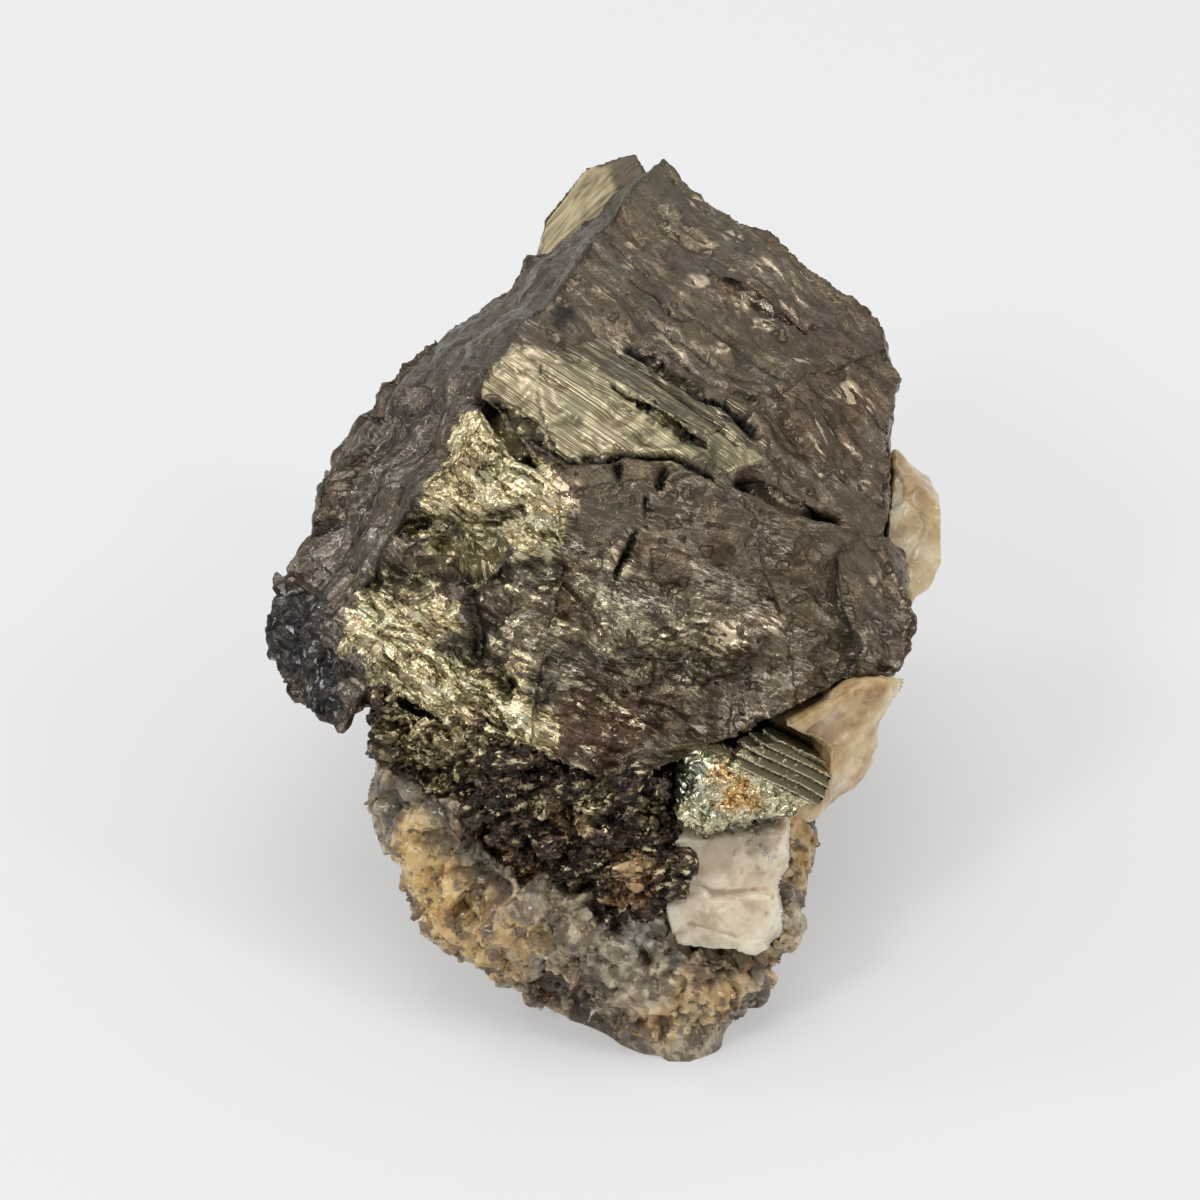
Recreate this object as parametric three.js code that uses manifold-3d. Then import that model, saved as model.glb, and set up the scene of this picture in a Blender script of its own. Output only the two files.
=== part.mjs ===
// A hand-sized cubanite specimen: one large blocky cubanite crystal with smaller crystals and
// a rough foot of vein rock. Millimetres, +Z up, the origin on the surface that it stands on,
// below the middle of its box. The front, with the broad sloping face, looks to -Y.
import * as THREE from 'three';
import { ConvexGeometry } from 'three/addons/geometries/ConvexGeometry.js';
import { ImprovedNoise } from 'three/addons/math/ImprovedNoise.js';
import { mergeVertices } from 'three/addons/utils/BufferGeometryUtils.js';
import Module from 'manifold-3d';

const contactGap = 0.2;   // between two minerals that grew against each other
const workspace = 60;     // larger than the specimen in every direction
const rockGrain = { edge: 1.5, swell: 0.55, swellSize: 3.1, grit: 0.26, gritSize: 1.15 };
const lumpGrain = { edge: 1.0, swell: 0.22, swellSize: 1.9, grit: 0.13, gritSize: 0.8 };
const noiseOffsets = [0, 37.3, 71.9];   // one for each axis, so that the three noises differ

// The large crystal's flat faces. Each row is the compass bearing that the face looks to
// (clockwise from +Y), how far it leans over from looking straight up, both in degrees, and
// its distance from the middle of the crystal.
const crystalMiddle = new THREE.Vector3(0, 0.5, 12.5);
const crystalFaces = {
  top: [119, 12, 4.1],
  topRightSlope: [131, 37, 5.15],
  frontBevel: [172, 27, 4.45],
  front: [169, 53, 5.25],
  frontRight: [146, 53, 6.0],
  frontLeft: [203, 52, 5.65],
  leftShoulder: [247, 46, 6.05],
  leftTop: [292, 30, 5.45],
  leftTip: [214, 70, 8.1],
  left: [289, 91, 8.1],
  leftBackLow: [298, 75, 7.0],
  leftBack: [309, 69, 6.6],
  back: [343, 88, 9.9],
  rightBack: [46, 81, 9.1],
  rightBackCorner: [75, 80, 9.35],
  right: [96, 96, 8.45],
  underside: [21, 170, 4.8],
  frontUnderside: [140, 142, 8.4],
  frontLeftUnderside: [211, 137, 8.9],
};

// Ledges that stand out from it, by their corners.
const crystalLedges = {
  leftUpper: [
    [-7.0, 1.3, 15.1], [-5.1, 3.5, 15.6], [-6.2, 4.0, 13.2], [-7.5, 1.6, 13.4], [-7.3, 0.2, 14.6],
    [-5.6, 0.0, 14.6], [-4.8, 3.4, 13.0],
  ],
  leftMiddle: [
    [-8.7, -1.0, 13.1], [-7.2, -0.4, 14.1], [-8.4, 1.6, 11.6], [-9.2, -1.2, 11.0],
    [-9.0, -2.1, 12.4], [-7.0, -2.2, 13.0], [-6.8, 1.8, 11.0],
  ],
  leftTip: [
    [-9.7, -2.9, 11.2], [-10.3, -4.3, 9.8], [-9.7, -5.4, 8.6], [-8.0, -6.3, 8.1],
    [-7.0, -6.7, 9.3], [-8.4, -4.4, 11.3], [-9.2, -1.0, 9.6], [-6.6, -4.6, 8.0], [-8.6, -2.6, 8.0],
  ],
  right: [
    [8.1, -2.6, 12.6], [9.1, -4.4, 11.0], [8.6, -6.0, 9.8], [7.2, -6.5, 10.0], [6.8, -4.2, 12.7],
    [8.9, -1.2, 10.6], [8.5, -4.6, 8.6], [7.0, -5.2, 8.4], [8.2, 0.4, 8.8],
  ],
};

// Smaller crystals that grew out of its back in parallel, with the same faces as its own.
const parallelGrowths = [
  { scale: 0.7, shift: [-2.1, 2.9, -1.8] },
  { scale: 0.6, shift: [2.7, 3.7, -1.5] },
  { scale: 0.55, shift: [-1.2, 4.9, -1.8] },
];

// Open grooves in its faces, most of them along the striations, by their two ends.
const crystalGrooves = [
  { face: 'top', from: [0.6, 1.3, 16.7], to: [3.2, -0.8, 16.0], width: 0.55, depth: 0.45 },
  { face: 'top', from: [2.7, -0.9, 16.0], to: [3.8, -1.7, 15.7], width: 0.4, depth: 0.35 },
  { face: 'top', from: [2.6, 5.6, 16.5], to: [6.6, 2.6, 15.7], width: 0.5, depth: 0.3 },
  { face: 'frontBevel', from: [0.2, -0.9, 16.4], to: [2.9, -2.8, 15.6], width: 0.35, depth: 0.3 },
  { face: 'frontBevel', from: [-3.7, -1.8, 16.5], to: [-1.8, -3.0, 15.9], width: 0.35, depth: 0.3 },
  { face: 'frontLeft', from: [-4.2, -1.8, 16.7], to: [-2.4, -3.7, 15.5], width: 0.6, depth: 0.5 },
  { face: 'topRightSlope', from: [4.0, -3.2, 14.8], to: [6.8, -3.2, 13.2], width: 0.45, depth: 0.4 },
  { face: 'frontLeft', from: [-6.4, -4.4, 12.7], to: [-2.7, -5.1, 13.5], width: 1.4, depth: 0.5 },
];

// The smaller minerals, by the corners of the convex blocks that make them up.

const bladeBlocks = {
  blade: [
    [-2.4, 9.6, 14.5], [-2.1, 10.4, 15.6], [-0.7, 11.3, 16.9], [0.9, 11.8, 17.1], [1.2, 11.0, 16.6],
    [-2.2, 8.6, 14.3], [-1.5, 10.9, 12.6], [1.6, 12.1, 13.0], [1.8, 11.0, 13.4], [-1.8, 9.4, 12.8],
  ],
};

const fanBlocks = {
  bars: [
    [3.9, -9.2, 9.2], [5.1, -8.9, 9.3], [6.6, -8.9, 8.0], [6.3, -9.2, 7.2], [5.5, -9.4, 7.2],
    [3.6, -9.7, 8.4], [4.4, -6.6, 8.6], [6.0, -6.4, 7.6], [4.4, -6.9, 7.0],
  ],
  fan: [
    [2.7, -9.9, 8.5], [1.9, -10.3, 7.6], [2.8, -10.3, 6.8], [4.2, -9.9, 6.9], [5.6, -9.5, 7.1],
    [4.2, -9.5, 8.3], [2.4, -7.0, 7.8], [4.8, -6.8, 7.8], [3.2, -7.2, 6.6], [5.0, -7.0, 6.8],
  ],
};

const calciteBlocks = {
  upperStep: [
    [2.1, -10.3, 6.6], [5.1, -9.6, 6.3], [5.3, -9.7, 5.2], [2.0, -10.9, 5.0], [4.7, -10.4, 4.6],
    [2.2, -7.6, 6.4], [5.3, -7.2, 6.6], [2.0, -7.6, 4.0], [5.2, -7.4, 4.2],
  ],
  lowerStep: [
    [1.8, -11.2, 5.0], [4.9, -10.6, 4.7], [2.1, -11.5, 3.9], [4.3, -11.4, 3.5], [5.0, -10.7, 3.6],
    [1.8, -8.2, 4.8], [5.0, -8.0, 4.8], [2.2, -8.2, 3.4], [4.8, -8.0, 3.4],
  ],
};

const creamBlocks = {
  lump: [
    [4.9, -8.2, 9.2], [6.6, -7.3, 9.6], [8.5, -5.8, 9.4], [8.8, -5.3, 8.5], [7.9, -6.2, 7.4],
    [7.5, -6.7, 6.3], [5.9, -8.1, 5.8], [5.2, -8.4, 6.3], [6.6, -8.1, 7.4],
    [5.0, -4.6, 7.6], [7.9, -3.4, 8.0], [5.4, -4.6, 5.4], [7.2, -4.4, 6.2],
  ],
};

const flankBlocks = {
  lump: [
    [8.6, 2.3, 12.2], [9.4, 1.5, 11.8], [10.2, 0.5, 11.1], [10.1, -0.4, 10.0], [9.3, -1.5, 9.2],
    [8.4, -1.4, 10.4], [8.2, -1.9, 8.6], [9.2, 3.4, 9.2], [9.8, 2.6, 10.4], [8.0, 4.0, 11.4],
    [8.6, 0.2, 7.6], [7.6, 2.8, 8.0],
  ],
};

const sulphideBlocks = {
  underLip: [
    [-7.0, -6.4, 9.8], [-7.4, -6.5, 8.4], [-6.4, -7.6, 7.4], [-2.6, -9.1, 9.8], [-2.8, -9.6, 7.2],
    [-6.3, -4.0, 9.0], [-2.2, -5.4, 8.6], [-5.4, -5.0, 6.6],
  ],
  pocket: [
    [-3.2, -8.8, 9.6], [1.0, -9.4, 8.0], [1.9, -9.9, 7.8], [-3.3, -10.0, 6.4], [-2.0, -10.6, 5.6],
    [1.9, -10.6, 5.6], [-3.4, -6.0, 8.4], [1.4, -6.6, 8.6], [-2.6, -7.6, 5.0], [1.8, -7.6, 5.0],
  ],
  comb: [
    [-0.2, -11.1, 5.9], [2.0, -10.8, 6.2], [1.9, -11.2, 4.9], [0.0, -11.6, 4.9], [-0.2, -8.4, 6.0],
    [1.9, -8.4, 6.0], [0.0, -8.6, 4.6], [1.8, -8.6, 4.6],
  ],
};

const rockBlocks = {
  toe: [
    [2.1, -12.4, -0.4], [0.9, -12.1, -0.3], [3.5, -12.1, -0.2], [4.9, -11.0, 1.8], [-0.6, -11.6, 0.0],
    [0.0, -12.0, 3.0], [-0.2, -11.6, 4.8], [4.9, -11.1, 3.2], [3.0, -12.0, 3.2], [5.2, -9.8, 4.2],
    [4.8, -7.0, -0.5], [-1.6, -8.0, -0.5], [-2.2, -8.0, 5.0],
  ],
  instep: [
    [-3.3, -10.7, 1.3], [-2.2, -11.2, 0.6], [0.6, -11.9, -0.2], [0.4, -12.0, 3.0], [-1.2, -11.8, 4.6],
    [-3.2, -11.2, 5.2], [-3.4, -7.0, 0.8], [1.0, -7.0, -0.5], [-3.0, -8.0, 6.0], [0.6, -8.0, 6.0],
  ],
  leftLobe: [
    [-6.6, -7.2, 7.8], [-6.8, -7.9, 5.6], [-6.1, -8.9, 4.0], [-4.9, -9.7, 2.6], [-3.3, -10.6, 1.4],
    [-2.6, -11.3, 4.8], [-4.4, -10.2, 6.4], [-5.4, -6.0, 9.0], [-3.0, -7.4, 8.6],
    [-6.2, -3.2, 7.6], [-5.2, -3.0, 2.2], [-1.0, -10.0, 3.6],
  ],
  core: [
    [4.8, -10.2, -0.5], [5.3, -6.0, -0.5], [5.5, 0.0, -0.5], [4.6, 6.0, -0.5], [-2.5, 7.0, -0.5],
    [-4.8, 1.5, -0.5], [-4.8, -4.6, -0.5], [-3.4, -8.0, -0.5], [-5.4, -5.6, 8.8], [5.0, -6.4, 8.8],
    [6.4, 4.0, 10.0], [-4.8, 6.0, 9.8], [0.4, 8.0, 10.4],
  ],
  rightRoot: [
    [5.0, -4.8, 3.4], [6.4, -3.8, 6.0], [7.6, -0.6, 8.6], [7.8, 3.6, 9.4], [4.8, 5.2, 4.0],
    [4.6, -5.0, 8.6], [5.4, 5.0, 9.8], [5.6, 1.6, 3.0],
  ],
  backApron: [
    [-3.0, 8.0, 2.6], [2.8, 8.8, 2.8], [-4.4, 7.8, 9.4], [1.0, 10.8, 9.6], [5.8, 8.4, 9.4],
    [5.6, 4.0, 1.6], [-4.8, 3.0, 2.0], [0.0, 4.0, 9.0], [-5.4, 3.4, 7.0],
  ],
};

// Geometry helpers

function toSolid(geometry) {
  for (const name of Object.keys(geometry.attributes)) {
    if (name !== 'position') geometry.deleteAttribute(name);
  }
  const merged = mergeVertices(geometry, 1e-4);
  return new wasm.Manifold(new wasm.Mesh({
    numProp: 3,
    vertProperties: new Float32Array(merged.attributes.position.array),
    triVerts: new Uint32Array(merged.index.array),
  }));
}

function toGeometry(solid) {
  const mesh = solid.getMesh();
  return new THREE.BufferGeometry()
    .setAttribute('position', new THREE.BufferAttribute(new Float32Array(mesh.vertProperties), 3))
    .setIndex(new THREE.BufferAttribute(new Uint32Array(mesh.triVerts), 1));
}

function box(bottom, top) {
  const depth = top - bottom;
  return toSolid(new THREE.BoxGeometry(workspace, workspace, depth).translate(0, 0, bottom + depth / 2));
}

// The convex block around the corners, with a margin on every side where one is asked for.
function block(corners, margin = 0) {
  const signs = margin ? [-1, 1] : [0];
  const points = [];
  for (const [x, y, z] of corners) {
    for (const i of signs) for (const j of signs) for (const k of signs) {
      points.push(new THREE.Vector3(x + i * margin, y + j * margin, z + k * margin));
    }
  }
  return toSolid(new ConvexGeometry(points));
}

function joined(blocks, margin = 0) {
  return Object.values(blocks)
    .map((corners) => block(corners, margin))
    .reduce((all, next) => all.add(next));
}

function facing([bearing, lean]) {
  const turn = THREE.MathUtils.degToRad(bearing);
  const tip = THREE.MathUtils.degToRad(lean);
  return new THREE.Vector3(Math.sin(tip) * Math.sin(turn), Math.sin(tip) * Math.cos(turn), Math.cos(tip));
}

// A shallow V-shaped cutter that lies along a face.
function groove({ face, from, to, width, depth }) {
  const out = facing(crystalFaces[face]);
  const start = new THREE.Vector3(...from);
  const end = new THREE.Vector3(...to);
  const side = end.clone().sub(start).cross(out).setLength(width / 2);
  const middle = start.clone().lerp(end, 0.5);
  const rim = [start, end].map((p) => p.clone().addScaledVector(out, width));
  const lips = [middle.clone().add(side), middle.clone().sub(side)];
  const raised = lips.map((p) => p.clone().addScaledVector(out, width));
  const bottom = [0.3, 0.7].map((t) => start.clone().lerp(end, t).addScaledVector(out, -depth));
  return toSolid(new ConvexGeometry([start, end, ...rim, ...lips, ...raised, ...bottom]));
}

function flatFaced(middle, scale, margin) {
  return Object.values(crystalFaces).reduce((solid, face) => {
    const out = facing(face);
    const distance = out.dot(middle) + scale * face[2] + margin;
    return solid.trimByPlane(out.negate().toArray(), -distance);
  }, box(-workspace, workspace));
}

function crystal(margin) {
  let solid = flatFaced(crystalMiddle, 1, margin).add(joined(crystalLedges, margin));
  for (const { scale, shift } of parallelGrowths) {
    const middle = new THREE.Vector3(...shift).add(crystalMiddle);
    solid = solid.add(flatFaced(middle, scale, margin));
  }
  if (margin) return solid;
  return crystalGrooves.reduce((cut, row) => cut.subtract(groove(row)), solid);
}

// Halves every edge that is longer than longest, until none is.
function subdivided(solid, longest) {
  const mesh = solid.getMesh();
  const points = [];
  for (let i = 0; i < mesh.numVert; i++) {
    points.push(new THREE.Vector3().fromArray(mesh.vertProperties, i * mesh.numProp));
  }
  let faces = [];
  for (let i = 0; i < mesh.numTri; i++) {
    faces.push([0, 1, 2].map((k) => mesh.triVerts[3 * i + k]));
  }
  for (let splitSome = true; splitSome;) {
    splitSome = false;
    const middles = new Map();
    const middleOf = (a, b) => {
      if (points[a].distanceTo(points[b]) <= longest) return -1;
      const key = a < b ? `${a},${b}` : `${b},${a}`;
      if (!middles.has(key)) middles.set(key, points.push(points[a].clone().lerp(points[b], 0.5)) - 1);
      return middles.get(key);
    };
    const next = [];
    for (let [a, b, c] of faces) {
      let [ab, bc, ca] = [middleOf(a, b), middleOf(b, c), middleOf(c, a)];
      const cuts = [ab, bc, ca].filter((m) => m >= 0).length;
      if (cuts) splitSome = true;
      // turn the face until its whole edge, or its only cut edge, is the one from c to a
      while ((cuts === 1 && ca < 0) || (cuts === 2 && ca >= 0)) {
        [a, b, c, ab, bc, ca] = [b, c, a, bc, ca, ab];
      }
      if (cuts === 0) next.push([a, b, c]);
      if (cuts === 1) next.push([a, b, ca], [b, c, ca]);
      if (cuts === 2) next.push([a, ab, bc], [ab, b, bc], [a, bc, c]);
      if (cuts === 3) next.push([a, ab, ca], [ab, b, bc], [ca, bc, c], [ab, bc, ca]);
    }
    faces = next;
  }
  const geometry = new THREE.BufferGeometry().setFromPoints(points);
  return toSolid(geometry.setIndex(faces.flat()));
}

// Moves every point by a smooth three-way noise, which leaves the skin closed.
function roughened(solid, grain) {
  const noise = new ImprovedNoise();
  const geometry = toGeometry(subdivided(solid, grain.edge));
  const place = geometry.attributes.position;
  for (let i = 0; i < place.count; i++) {
    const at = new THREE.Vector3().fromBufferAttribute(place, i);
    const swellAt = at.clone().divideScalar(grain.swellSize);
    const gritAt = at.clone().divideScalar(grain.gritSize);
    const shift = noiseOffsets.map((offset) => (
      grain.swell * noise.noise(swellAt.x + offset, swellAt.y, swellAt.z)
      + grain.grit * noise.noise(gritAt.x, gritAt.y + offset, gritAt.z)
    ));
    place.setXYZ(i, at.x + shift[0], at.y + shift[1], at.z + shift[2]);
  }
  return toSolid(geometry);
}

function largestBody(solid) {
  return solid.decompose().reduce((a, b) => (b.volume() > a.volume() ? b : a));
}

// The minerals, in the order that they grew: a later one gives way to the earlier ones.

const wasm = await Module();
wasm.setup();
const specimen = new THREE.Group();
const taken = [];

function grow(name, shape, colour, roughness, metalness) {
  let solid = shape(0);
  for (const earlier of taken) solid = solid.subtract(earlier);
  taken.push(shape(contactGap));
  const material = new THREE.MeshStandardMaterial({ color: colour, roughness, metalness });
  material.flatShading = true;
  const mesh = new THREE.Mesh(toGeometry(largestBody(solid)), material);
  mesh.name = name;
  specimen.add(mesh);
}

const below = box(-workspace, 0);
const plain = (blocks) => (margin) => joined(blocks, margin);
const lumpy = (blocks) => (margin) => roughened(joined(blocks, margin), lumpGrain);
const rocky = (margin) => roughened(joined(rockBlocks, margin), rockGrain).subtract(below);

grow('cubanite_crystal', crystal, 0x5a5040, 0.42, 0.85);
grow('cubanite_back_blade', plain(bladeBlocks), 0xa8965a, 0.38, 0.85);
grow('cubanite_fan', plain(fanBlocks), 0x7d7a4c, 0.36, 0.85);
grow('calcite_cleavage', plain(calciteBlocks), 0xcfc3b6, 0.35, 0);
grow('cream_carbonate', lumpy(creamBlocks), 0xc4a984, 0.55, 0);
grow('flank_carbonate', lumpy(flankBlocks), 0xb39a68, 0.6, 0);
grow('sulphide_crust', lumpy(sulphideBlocks), 0x3a2c1e, 0.6, 0.3);
grow('vein_rock', rocky, 0xa08c64, 0.8, 0);

export default specimen;
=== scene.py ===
# A cubanite specimen: the large tarnished crystal with its brassy patches, the smaller crystals
# and carbonates round it, and the grains of the vein rock that it stands on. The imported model
# gives every piece its place; here each gets its fine surface and its finish. Sizes are in
# millimetres until a piece is finished.
import math

import bmesh
import bpy
import numpy as np
from mathutils import Matrix, Vector, noise


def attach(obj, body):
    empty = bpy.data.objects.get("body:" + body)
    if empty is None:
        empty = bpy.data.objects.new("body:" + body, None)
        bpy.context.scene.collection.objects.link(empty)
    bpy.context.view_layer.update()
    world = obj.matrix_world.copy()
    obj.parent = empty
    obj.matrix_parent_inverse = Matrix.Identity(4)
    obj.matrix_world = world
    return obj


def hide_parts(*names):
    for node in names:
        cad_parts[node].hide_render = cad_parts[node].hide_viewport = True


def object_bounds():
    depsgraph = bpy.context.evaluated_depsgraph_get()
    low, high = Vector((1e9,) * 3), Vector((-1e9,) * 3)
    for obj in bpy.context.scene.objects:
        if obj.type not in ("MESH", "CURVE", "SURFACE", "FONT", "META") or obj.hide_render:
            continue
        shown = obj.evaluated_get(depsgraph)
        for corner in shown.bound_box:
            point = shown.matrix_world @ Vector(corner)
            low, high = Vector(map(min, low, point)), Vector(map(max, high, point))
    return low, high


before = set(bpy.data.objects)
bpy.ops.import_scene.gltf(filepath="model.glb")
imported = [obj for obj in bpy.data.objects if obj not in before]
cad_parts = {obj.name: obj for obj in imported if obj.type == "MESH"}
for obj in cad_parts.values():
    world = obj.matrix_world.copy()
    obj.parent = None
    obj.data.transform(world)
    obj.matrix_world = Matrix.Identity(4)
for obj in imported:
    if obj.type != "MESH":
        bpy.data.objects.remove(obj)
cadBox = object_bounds()
millimetre = 0.001
lowCorner = np.array(cadBox[0]) / millimetre
highCorner = np.array(cadBox[1]) / millimetre
coarser = 1
furthestOut = 0.45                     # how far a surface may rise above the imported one


# The studio: a pale floor, a dim room and two softboxes.

studio = {
    "aim": (-0.25, -6.0, 12.3),        # the point that the camera looks at
    "distance": 160,
    "elevation": 35,                   # degrees above the horizon
    "viewWidth": 35.3,                 # how much the picture takes in at the aim
    "floor": (0.50, 0.50, 0.505),
    "floorGlow": 0.325,                # keeps the shadows on it light
    "zenith": 0.64,                    # strength of the room's light from above
    "horizon": 0.70,
    "cameraSide": 0.35,                # how much darker the room is behind the camera
}
softboxes = {
    # the way it hangs, as a compass bearing and a height in degrees; its width and its power in watts
    "overhead": (170, 86, 300, 0.46),
    "left": (-75, 38, 80, 0.19),
    "front left": (-140, 42, 90, 0.34),
    "right": (115, 48, 80, 0.17),
}
softboxDistance = 430


def makeCamera():
    camera = bpy.data.objects.new("camera", bpy.data.cameras.new("camera"))
    bpy.context.scene.collection.objects.link(camera)
    rise = math.radians(studio["elevation"])
    back = Vector((0, -math.cos(rise), math.sin(rise)))
    camera.location = (Vector(studio["aim"]) + back * studio["distance"]) * millimetre
    camera.rotation_euler = (math.pi / 2 - rise, 0, 0)
    camera.data.lens = camera.data.sensor_width * studio["distance"] / studio["viewWidth"]
    camera.data.clip_start = 0.01
    bpy.context.scene.camera = camera


def makeFloor():
    bpy.ops.mesh.primitive_plane_add(size=3)
    floor = bpy.context.object
    floor.name = "floor"
    floor.data.materials.append(newFinish("pale_floor", lambda _: {
        "Base Color": (*studio["floor"], 1), "Roughness": 0.8,
        "Emission Color": (1, 1, 1, 1), "Emission Strength": studio["floorGlow"],
    }))


def makeLights():
    for name, (bearing, height, width, power) in softboxes.items():
        light = bpy.data.objects.new("softbox " + name, bpy.data.lights.new(name, "AREA"))
        bpy.context.scene.collection.objects.link(light)
        light.data.shape = "DISK"
        light.data.size = width * millimetre
        light.data.energy = power
        way = Vector(facing(bearing, 90 - height))
        light.location = (Vector((0, 0, 10)) + way * softboxDistance) * millimetre
        light.rotation_euler = way.to_track_quat("Z", "Y").to_euler()


def makeRoom():
    world = bpy.data.worlds.new("room")
    world.use_nodes = True
    bpy.context.scene.world = world
    tree = world.node_tree
    direction = addNode(tree, "ShaderNodeTexCoord").outputs["Generated"]
    parts = addNode(tree, "ShaderNodeSeparateXYZ", {"Vector": direction}).outputs
    height = ranged(parts["Z"], 0, 1, studio["horizon"], studio["zenith"])
    side = ranged(parts["Y"], -0.9, 0.1, 1 - studio["cameraSide"], 1)
    feed(tree, tree.nodes["Background"], {
        "Color": (0.98, 0.99, 1, 1), "Strength": multiplied(height, side),
    })


# Node trees.

def feed(tree, node, inputs):
    # gives each input its link or its value
    for name, value in inputs.items():
        if isinstance(value, bpy.types.NodeSocket):
            tree.links.new(value, node.inputs[name])
        else:
            node.inputs[name].default_value = value


def addNode(tree, kind, inputs=None, **settings):
    node = tree.nodes.new(kind)
    for name, value in settings.items():
        setattr(node, name, value)
    feed(tree, node, inputs or {})
    return node


def newFinish(name, recipe, *details):
    material = bpy.data.materials.new(name)
    material.use_nodes = True
    tree = material.node_tree
    feed(tree, tree.nodes["Principled BSDF"], recipe(tree, *details))
    return material


def newGroup(name, inputs, outputs, kind="ShaderNodeTree"):
    # an empty node group with its inputs' starting values and its outputs' types
    group = bpy.data.node_groups.new(name, kind)
    types = {tuple: "Vector", float: "Float", int: "Int", type(None): "Geometry"}
    for label, value in inputs.items():
        socketType = "NodeSocket" + types[type(value)]
        socket = group.interface.new_socket(label, in_out="INPUT", socket_type=socketType)
        if value is not None:
            socket.default_value = value
    for label, socketType in outputs.items():
        group.interface.new_socket(label, in_out="OUTPUT", socket_type="NodeSocket" + socketType)
    return group, group.nodes.new("NodeGroupInput").outputs, group.nodes.new("NodeGroupOutput")


def useGroup(name, **inputs):
    tree = treeOf(*inputs.values())
    return addNode(tree, "ShaderNodeGroup", inputs, node_tree=groups[name]).outputs


def cloudOver(**inputs):
    return addNode(inputs["Vector"].id_data, "ShaderNodeTexNoise", inputs).outputs["Fac"]


def treeOf(*values):
    return next(value.id_data for value in values if isinstance(value, bpy.types.NodeSocket))


def multiplied(a, b):
    return addNode(treeOf(a, b), "ShaderNodeMath", {0: a, 1: b}, operation="MULTIPLY").outputs[0]


def added(a, b):
    return addNode(treeOf(a, b), "ShaderNodeMath", {0: a, 1: b}, operation="ADD").outputs[0]


def mixed(share, a, b):
    # numbers a and b, by the share of b
    return addNode(treeOf(share, a, b), "ShaderNodeMix", {0: share, 2: a, 3: b}).outputs[0]


def markOf(tree, name, output="Fac"):
    return addNode(tree, "ShaderNodeAttribute", attribute_name=name).outputs[output]


def inMillimetres(tree):
    # the point on the piece, in millimetres
    place = addNode(tree, "ShaderNodeTexCoord").outputs["Object"]
    return addNode(tree, "ShaderNodeMapping", {"Vector": place, "Scale": (1000, 1000, 1000)}).outputs[0]


def blended(share, a, b, blend="MIX"):
    # colours a and b, by the share of b
    a, b = (side if isinstance(side, bpy.types.NodeSocket) else (*side, 1) for side in (a, b))
    inputs = {0: share, 6: a, 7: b}
    node = addNode(treeOf(share, a, b), "ShaderNodeMix", inputs, data_type="RGBA", blend_type=blend)
    return node.outputs[2]


def layered(colour, layers):
    # lays colours over each other: each by a mark or a mask, how strongly, and the colour
    for mask, strength, over in layers:
        share = markOf(colour.id_data, mask) if isinstance(mask, str) else mask
        if strength != 1:
            share = multiplied(share, strength)
        colour = blended(share, colour, over)
    return colour


def vectorMath(operation, a, b=None):
    inputs = {0: a}
    if b is not None:
        inputs["Scale" if operation == "SCALE" else 1] = b
    return addNode(a.id_data, "ShaderNodeVectorMath", inputs, operation=operation).outputs[0]


def bumped(depth, height, normal=None):
    # a normal with small bumps; their depth is in millimetres
    inputs = {"Distance": depth * millimetre, "Height": height}
    if normal is not None:
        inputs["Normal"] = normal
    return addNode(height.id_data, "ShaderNodeBump", inputs).outputs[0]


def ranged(value, low, high, outLow=0.0, outHigh=1.0):
    return addNode(value.id_data, "ShaderNodeMapRange", {
        "Value": value, "From Min": low, "From Max": high, "To Min": outLow, "To Max": outHigh,
    }).outputs[0]


def ramp(value, stops):
    # colours along a value: each row is a place on it and its red, green and blue
    node = addNode(value.id_data, "ShaderNodeValToRGB", {"Fac": value})
    elements = node.color_ramp.elements
    while len(elements) < len(stops):
        elements.new(0.5)
    for element, (place, *colour) in zip(elements, stops):
        element.position = place
        element.color = (*colour, 1)
    return node.outputs[0]


def stretched(group, start):
    # the group's Vector, in lengths and widths of one streak or face
    size = addNode(group, "ShaderNodeCombineXYZ", {
        "X": start["Length"], "Y": start["Width"], "Z": start["Width"],
    })
    return vectorMath("DIVIDE", start["Vector"], size.outputs[0])


def makeHackles():
    # straight fine streaks: Length and Width of one, in the units of Vector
    inputs = {"Vector": (0, 0, 0), "Length": 1.0, "Width": 0.2}
    group, start, end = newGroup("hackles", inputs, {"Fine": "Float"})
    fine = cloudOver(Vector=stretched(group, start), Scale=1.6, Detail=1.5, Roughness=0.6)
    feed(group, end, {"Fine": fine})
    return group


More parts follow.
